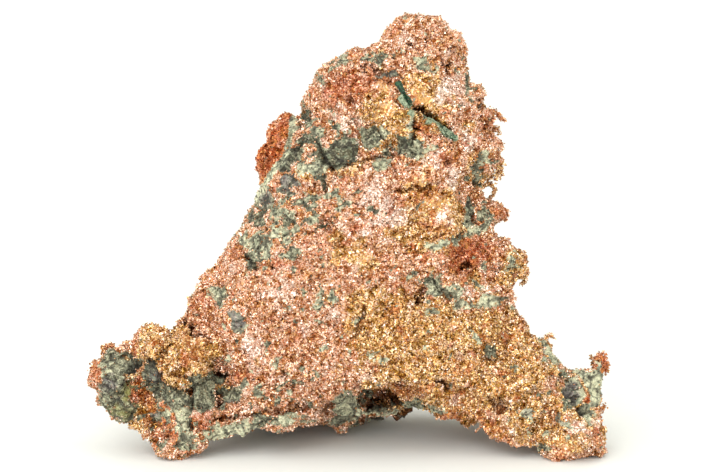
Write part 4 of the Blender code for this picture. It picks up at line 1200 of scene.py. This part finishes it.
class Wiring:
    """Short calls that add and join a tree's nodes."""

    def __init__(self, tree):
        self.tree = tree

    def feed(self, socket, value):
        """Sets a socket, or links it if the value is another socket."""
        if isinstance(value, bpy.types.NodeSocket):
            self.tree.links.new(value, socket)
        elif value is not None:
            socket.default_value = value

    def node(self, kind, inputs=(), **settings):
        """Adds a node, and sets or links these of its inputs. Returns its outputs."""
        made = self.tree.nodes.new(kind)
        for name, value in settings.items():
            setattr(made, name, value)
        for socket, value in dict(inputs).items():
            self.feed(made.inputs[socket], value)
        return made.outputs

    def math(self, operation, *values, clamp=False):
        return self.node("ShaderNodeMath", enumerate(values), operation=operation, use_clamp=clamp)[0]

    def times(self, a, b):
        return self.math("MULTIPLY", a, b)

    def plus(self, a, b, clamp=False):
        return self.math("ADD", a, b, clamp=clamp)

    def one_less(self, value):
        return self.math("SUBTRACT", 1.0, value)

    def spread(self, value, gain):
        """Spreads values round a half to lie round nought."""
        return self.math("MULTIPLY_ADD", value, gain, -gain / 2)

    def again(self, value, factor):
        """A second value that has nothing to do with the first, from the first."""
        return self.math("FRACT", self.times(value, factor))

    def vector_math(self, operation, *values):
        return self.node("ShaderNodeVectorMath", enumerate(values), operation=operation)[0]

    def mix(self, share, a, b):
        return self.node("ShaderNodeMix", {0: share, 6: a, 7: b}, data_type="RGBA")[2]

    def mix_value(self, share, a, b):
        return self.node("ShaderNodeMix", {0: share, 2: a, 3: b}, data_type="FLOAT")[0]

    def layers(self, colour, *layers):
        """Lays colours over a colour, each with its share."""
        for share, over in layers:
            colour = self.mix(share, colour, over)
        return colour

    def ramp(self, value, low, high, out_low=0.0, out_high=1.0):
        values = enumerate((value, low, high, out_low, out_high))
        return self.node("ShaderNodeMapRange", values, interpolation_type="SMOOTHSTEP")[0]

    def here(self):
        return self.node("ShaderNodeTexCoord")["Object"]

    def noise(self, size, detail=2.0, roughness=0.5):
        """Noise in object coordinates, with features of this size in millimetres."""
        inputs = {"Vector": self.here(), "Scale": 1 / (size * MM), "Detail": detail, "Roughness": roughness}
        return self.node("ShaderNodeTexNoise", inputs)["Fac"]

    def cells(self, scale):
        """A colour for each Voronoi cell, this many to the metre in object coordinates."""
        return self.node("ShaderNodeTexVoronoi", {"Vector": self.here(), "Scale": scale})["Color"]

    def cell_values(self, size):
        """Values of cells this far apart in millimetres."""
        return self.node("ShaderNodeSeparateColor", {0: self.cells(1 / (size * MM))})

    def bump(self, distance, height, strength=None, normal=None):
        inputs = {"Distance": distance * MM, "Height": height, "Strength": strength, "Normal": normal}
        return self.node("ShaderNodeBump", inputs)["Normal"]

    def attribute(self, name):
        return self.node("ShaderNodeAttribute", attribute_name=name)["Fac"]

    def group(self, tree, inputs):
        return self.node("ShaderNodeGroup", inputs, node_tree=tree)

    def put_out(self, **values):
        made = self.tree.nodes.new("NodeGroupOutput")
        for name, value in values.items():
            self.feed(made.inputs[name], value)


def new_group(name, values, colours, outputs):
    """An empty node group with these inputs and outputs. Returns it, its wiring and what it is given."""
    group = bpy.data.node_groups.new(name, "ShaderNodeTree")
    for kind, inputs in (("Float", values), ("Color", colours)):
        for socket, default in inputs.items():
            made = group.interface.new_socket(socket, in_out="INPUT", socket_type=f"NodeSocket{kind}")
            made.default_value = default
    for socket, kind in outputs.items():
        group.interface.new_socket(socket, in_out="OUTPUT", socket_type=f"NodeSocket{kind}")
    wire = Wiring(group)
    return group, wire, wire.node("NodeGroupInput")


def copper_tones():
    """The colour and roughness of a copper grain, from its own shade and the zone that it is in, with painted
    highlights and glints, and painted shade in its gaps and pits.
    """
    name = "Copper Tones"
    if name in bpy.data.node_groups:
        return bpy.data.node_groups[name]
    finish = settings().finish
    group, wire, given = new_group(
        name,
        {"Shade": 0.5, "Gold": 0.0, "Bright": 0.0, "Smooth": 0.0, "Red": 0.0, "Gap": 0.0, "Dark": 0.0},
        {
            "Pink Copper": finish.pink, "Golden Copper": finish.gold, "Smooth Copper": finish.film,
            "Pale Highlight Copper": finish.pale_highlight, "Red Copper": finish.red, "Gap Shade Copper": finish.gap_shade,
            "Gap Shade Gold": finish.gap_shade_gold, "Dark Copper": finish.dark,
        },
        {"Color": "Color", "Roughness": "Float"},
    )
    shade, pale_highlight_copper = given["Shade"], given["Pale Highlight Copper"]
    gold = wire.ramp(wire.plus(given["Gold"], wire.spread(wire.noise(1.3, 3.0), 0.9)), 0.25, 0.75)
    # The colour of the painted shade between the grains, golden where the copper is golden.
    gap_shade = wire.mix(gold, given["Gap Shade Copper"], given["Gap Shade Gold"])
    smooth = wire.times(given["Smooth"], 0.85)
    film = wire.math("MAXIMUM", smooth, wire.ramp(wire.noise(2.3, 3.0), 0.55, 0.67, 0.0, 0.5))
    # Small cells at random: some are painted glints, lifted towards the pale highlight colour, and some are
    # painted shade, darkened towards the colour of the gaps.
    specks = wire.cell_values(0.21)
    grainy = wire.one_less(given["Smooth"])
    light = wire.times(grainy, wire.ramp(specks[0], 0.74, 0.82, 0.0, 0.95))
    plain = wire.math("MULTIPLY_ADD", given["Bright"], -0.6, 1.0)
    shade_specks = wire.times(wire.times(grainy, plain), wire.ramp(specks[1], 0.66, 0.76, 0.0, 0.85))
    colour = wire.layers(
        wire.mix(gold, given["Pink Copper"], given["Golden Copper"]),
        (film, given["Smooth Copper"]),
        # Pale copper and painted highlights, where the zone asks for them.
        (wire.times(given["Bright"], 0.9), pale_highlight_copper),
        # Grains picked at random are lifted towards the pale highlight colour, painted glints.
        (wire.ramp(shade, 0.18, 0.05, 0.0, 0.5), pale_highlight_copper),
        (light, pale_highlight_copper),
        (shade_specks, gap_shade),
        (wire.ramp(shade, 0.86, 0.97, 0.0, 0.45), given["Red Copper"]),
        (wire.times(given["Red"], wire.ramp(shade, 0.0, 1.0, 0.75, 1.0)), given["Red Copper"]),
        # A few grains picked at random are darkened, painted shade.
        (wire.ramp(wire.again(shade, 7.31), 0.90, 0.98, 0.0, 0.5), given["Dark Copper"]),
        # Painted shade in the gaps between the grains, weaker where the copper is pale.
        (wire.times(wire.times(given["Gap"], 0.75), plain), gap_shade),
        # Painted shade in the pits and cracks.
        (wire.times(given["Dark"], 0.95), given["Dark Copper"]),
    )
    rough = wire.ramp(wire.again(shade, 3.77), 0.0, 1.0, 0.20, 0.45)
    wire.put_out(Color=colour, Roughness=wire.plus(rough, wire.times(given["Red"], 0.12)))
    return group


def sparkle():
    """A normal that leans another way in every small cell, as fine crystal faces do."""
    name = "Crystal Sparkle"
    if name in bpy.data.node_groups:
        return bpy.data.node_groups[name]
    group, wire, given = new_group(name, {"Size": 0.3, "Amount": 0.5}, {}, {"Normal": "Vector"})
    facets = wire.cells(wire.math("DIVIDE", 1 / MM, given["Size"]))
    lean = wire.vector_math("SUBTRACT", facets, (0.5, 0.5, 0.5))
    lean = wire.vector_math("SCALE", lean, None, None, wire.times(given["Amount"], 2.0))
    normal = wire.vector_math("ADD", wire.node("ShaderNodeNewGeometry")["Normal"], lean)
    wire.put_out(Normal=wire.vector_math("NORMALIZE", normal))
    return group


def basalt_tones():
    """The speckled colour and the fine height of basalt, with painted shade in its joints and pits."""
    name = "Basalt Tones"
    if name in bpy.data.node_groups:
        return bpy.data.node_groups[name]
    finish = settings().finish
    group, wire, given = new_group(
        name,
        {"Tone": 0.5, "Lilac": 0.0, "Stain": 0.0, "Gap": 0.0, "Dark": 0.0},
        {"Olive Basalt": finish.olive, "Pale Basalt": finish.pale},
        {"Color": "Color", "Height": "Float"},
    )
    mottle = wire.noise(1.1, 4.0, 0.65)
    speckle = wire.noise(0.36, 2.0, 0.7)
    crystals = wire.cell_values(0.34)
    tone = wire.plus(given["Tone"], wire.spread(mottle, 1.4))
    tone = wire.plus(tone, wire.spread(speckle, 2.2))
    tone = wire.plus(tone, wire.spread(crystals[0], 0.5), clamp=True)
    # Painted shade: the joints between the blocks and the pits are darkened towards near black.
    low = wire.math("MAXIMUM", wire.times(given["Gap"], 0.8), wire.times(given["Dark"], 0.95))
    colour = wire.layers(
        wire.mix(tone, given["Olive Basalt"], given["Pale Basalt"]),
        (wire.times(given["Lilac"], 0.7), LILAC_STONE),
        (wire.ramp(wire.noise(0.8), 0.52, 0.66, 0.0, 0.45), GREEN_STONE),
        (wire.ramp(crystals[1], 0.88, 0.92, 0.0, 0.8), BLACK_SPECK),
        (wire.times(given["Stain"], 0.8), YELLOW_STAIN),
        (low, DEEP_STONE),
    )
    wire.put_out(Color=colour, Height=wire.plus(mottle, wire.times(speckle, 0.6)))
    return group


# ---- Materials ----


def new_material(name, **inputs):
    """A material whose shader has these values, with the shader's inputs and the wiring to finish it."""
    material = bpy.data.materials.new(name)
    material.use_nodes = True
    shader = material.node_tree.nodes["Principled BSDF"]
    for socket, value in inputs.items():
        shader.inputs[socket.replace("_", " ")].default_value = value
    return material, shader.inputs, Wiring(material.node_tree)


def zoned(wire, group, *zones):
    """A group of tones, fed with the surface's own zones."""
    return wire.group(group, {zone.title(): wire.attribute(zone) for zone in zones})


def copper_here(wire):
    return zoned(wire, copper_tones(), "shade", "gold", "bright", "smooth", "red", "gap", "dark")


def basalt_here(wire):
    return zoned(wire, basalt_tones(), "tone", "lilac", "stain", "gap", "dark")


def skin_material():
    """Copper grown through basalt, split by the skin's zones."""
    material, shader, wire = new_material("copper_and_basalt")
    ragged = wire.spread(wire.noise(0.45, 3.0, 0.6), 1.1)
    basalt = wire.ramp(wire.plus(wire.attribute("basalt"), ragged), 0.44, 0.56)
    specks = wire.math("MULTIPLY_ADD", wire.attribute("smooth"), -0.08, wire.noise(0.42, 2.0, 0.6))
    basalt = wire.times(basalt, wire.ramp(specks, 0.65, 0.69, 1.0, 0.0))
    copper, stone = copper_here(wire), basalt_here(wire)
    metal = wire.one_less(basalt)
    wire.feed(shader["Base Color"], wire.mix(basalt, copper["Color"], stone["Color"]))
    wire.feed(shader["Metallic"], metal)
    wire.feed(shader["Roughness"], wire.mix_value(basalt, copper["Roughness"], 0.68))
    rough = wire.math("MULTIPLY_ADD", wire.attribute("smooth"), -0.8, 1.0)
    amount = wire.times(wire.times(metal, rough), 0.5)
    glints = wire.group(sparkle(), {"Size": 0.25, "Amount": amount})["Normal"]
    wire.feed(shader["Normal"], wire.bump(0.5, stone["Height"], basalt, glints))
    return material


def grain_material():
    """Loose copper grains and beads."""
    name = "copper_grain"
    if name in bpy.data.materials:
        return bpy.data.materials[name]
    material, shader, wire = new_material(name, Metallic=1.0)
    copper = copper_here(wire)
    wire.feed(shader["Base Color"], copper["Color"])
    wire.feed(shader["Roughness"], copper["Roughness"])
    wire.feed(shader["Normal"], wire.group(sparkle(), {"Size": 0.23, "Amount": 0.42})["Normal"])
    return material


def crumb_material():
    """Loose grains of basalt."""
    material, shader, wire = new_material("basalt_crumb", Roughness=0.6)
    wire.feed(shader["Base Color"], basalt_here(wire)["Color"])
    return material


def crystal_material():
    """Dark green crystals with pale, dusty faces."""
    material, shader, wire = new_material("green_crystal", Specular_IOR_Level=0.35)
    cloudy = wire.spread(wire.noise(0.5, 3.0, 0.65), 2.8)
    pale = wire.ramp(wire.plus(wire.attribute("pale"), cloudy), 0.25, 0.75)
    streaks = wire.ramp(wire.noise(0.45, 4.0, 0.75), 0.42, 0.60)
    green = wire.mix(streaks, CRYSTAL_BLACK, CRYSTAL_GREEN)
    wire.feed(shader["Base Color"], wire.mix(pale, green, CRYSTAL_DUST))
    wire.feed(shader["Roughness"], wire.ramp(pale, 0.0, 1.0, 0.35, 0.6))
    wire.feed(shader["Normal"], wire.bump(0.40, wire.noise(0.7, 4.0, 0.65)))
    return material


def floor_material():
    """White studio paper."""
    material, shader, wire = new_material("studio_floor", Roughness=0.7)
    wire.feed(shader["Base Color"], wire.mix(wire.noise(2.0), PAPER, PAPER_FIBRE))
    return material


# ---- The studio ----


def aim(obj, place, target):
    """Puts an object at a place and turns its -Z towards the target."""
    obj.location = place
    obj.rotation_mode = "QUATERNION"
    obj.rotation_quaternion = (target - place).to_track_quat("-Z", "Y")


def shine(name, kind, energy, place, target):
    """A light that shines from a place towards the target."""
    light = bpy.data.lights.new(name, kind)
    light.energy = energy
    aim(link(name, light), Vector(place), target)
    return light


class NUGGET_OT_studio(bpy.types.Operator):
    """Set up the floor, the lights and the camera"""

    bl_idname = "nugget.studio"
    bl_label = "Studio"

    def execute(self, context):
        studio = settings().studio
        scene = context.scene
        middle = Vector((0, 0, 0))
        target = Vector(CAMERA_TARGET) * MM

        bm = bmesh.new()
        bmesh.ops.create_circle(bm, cap_ends=True, segments=96, radius=studio.floor_radius)
        floor = link("studio_floor", mesh_of(bm, "studio_floor"))
        floor.data.materials.append(floor_material())

        shine("ceiling", "SUN", studio.ceiling, CEILING_FROM, middle).angle = studio.ceiling_width
        shine("front", "SUN", studio.front, FRONT_FROM, middle).angle = studio.front_width
        for name, aside in (("left_strip", -STRIP_ASIDE), ("right_strip", STRIP_ASIDE)):
            strip = shine(name, "AREA", studio.side_power, (aside, STRIP_FORWARD, STRIP_HEIGHT), target)
            strip.shape = "RECTANGLE"
            strip.size, strip.size_y = STRIP_SIZE
        scene.world = bpy.data.worlds.new("studio")
        scene.world.use_nodes = True
        room = scene.world.node_tree.nodes["Background"].inputs
        room["Color"].default_value = ROOM_COLOUR
        room["Strength"].default_value = studio.room

        back, _ = camera_axes()
        lens = bpy.data.cameras.new("camera")
        lens.lens = CAMERA_LENS
        lens.sensor_width = SENSOR_WIDTH
        lens.clip_start = 0.01
        scene.camera = link("camera", lens)
        aim(scene.camera, target + Vector(back) * CAMERA_DISTANCE * MM, target)
        scene.view_settings.view_transform = "Standard"
        return {"FINISHED"}


# ---- The add-on ----


class NUGGET_PT_panel(bpy.types.Panel):
    """The nugget's settings and steps"""

    bl_label = "Copper Nugget"
    bl_idname = "NUGGET_PT_panel"
    bl_space_type = "VIEW_3D"
    bl_region_type = "UI"
    bl_category = "Nugget"

    def draw(self, context):
        nugget = context.scene.nugget
        for part in (nugget.skin, nugget.grains, nugget.finish, nugget.studio):
            box = self.layout.box()
            for name in part.bl_rna.properties.keys():
                if name not in ("rna_type", "name"):
                    box.prop(part, name)
        for step in STEPS:
            self.layout.operator(step.bl_idname)


STEPS = (NUGGET_OT_skin, NUGGET_OT_grains, NUGGET_OT_hooks, NUGGET_OT_crystals, NUGGET_OT_studio)
GROUPS = (SkinSettings, GrainSettings, FinishSettings, StudioSettings, NuggetSettings)
CLASSES = (*GROUPS, *STEPS, NUGGET_PT_panel)


def register():
    for cls in CLASSES:
        bpy.utils.register_class(cls)
    bpy.types.Scene.nugget = bpy.props.PointerProperty(type=NuggetSettings)


def unregister():
    del bpy.types.Scene.nugget
    for cls in reversed(CLASSES):
        bpy.utils.unregister_class(cls)


def main():
    register()
    bpy.ops.nugget.skin()
    bpy.ops.nugget.grains()
    bpy.ops.nugget.hooks()
    bpy.ops.nugget.crystals()
    bpy.ops.nugget.studio()


if __name__ == "__main__":
    main()
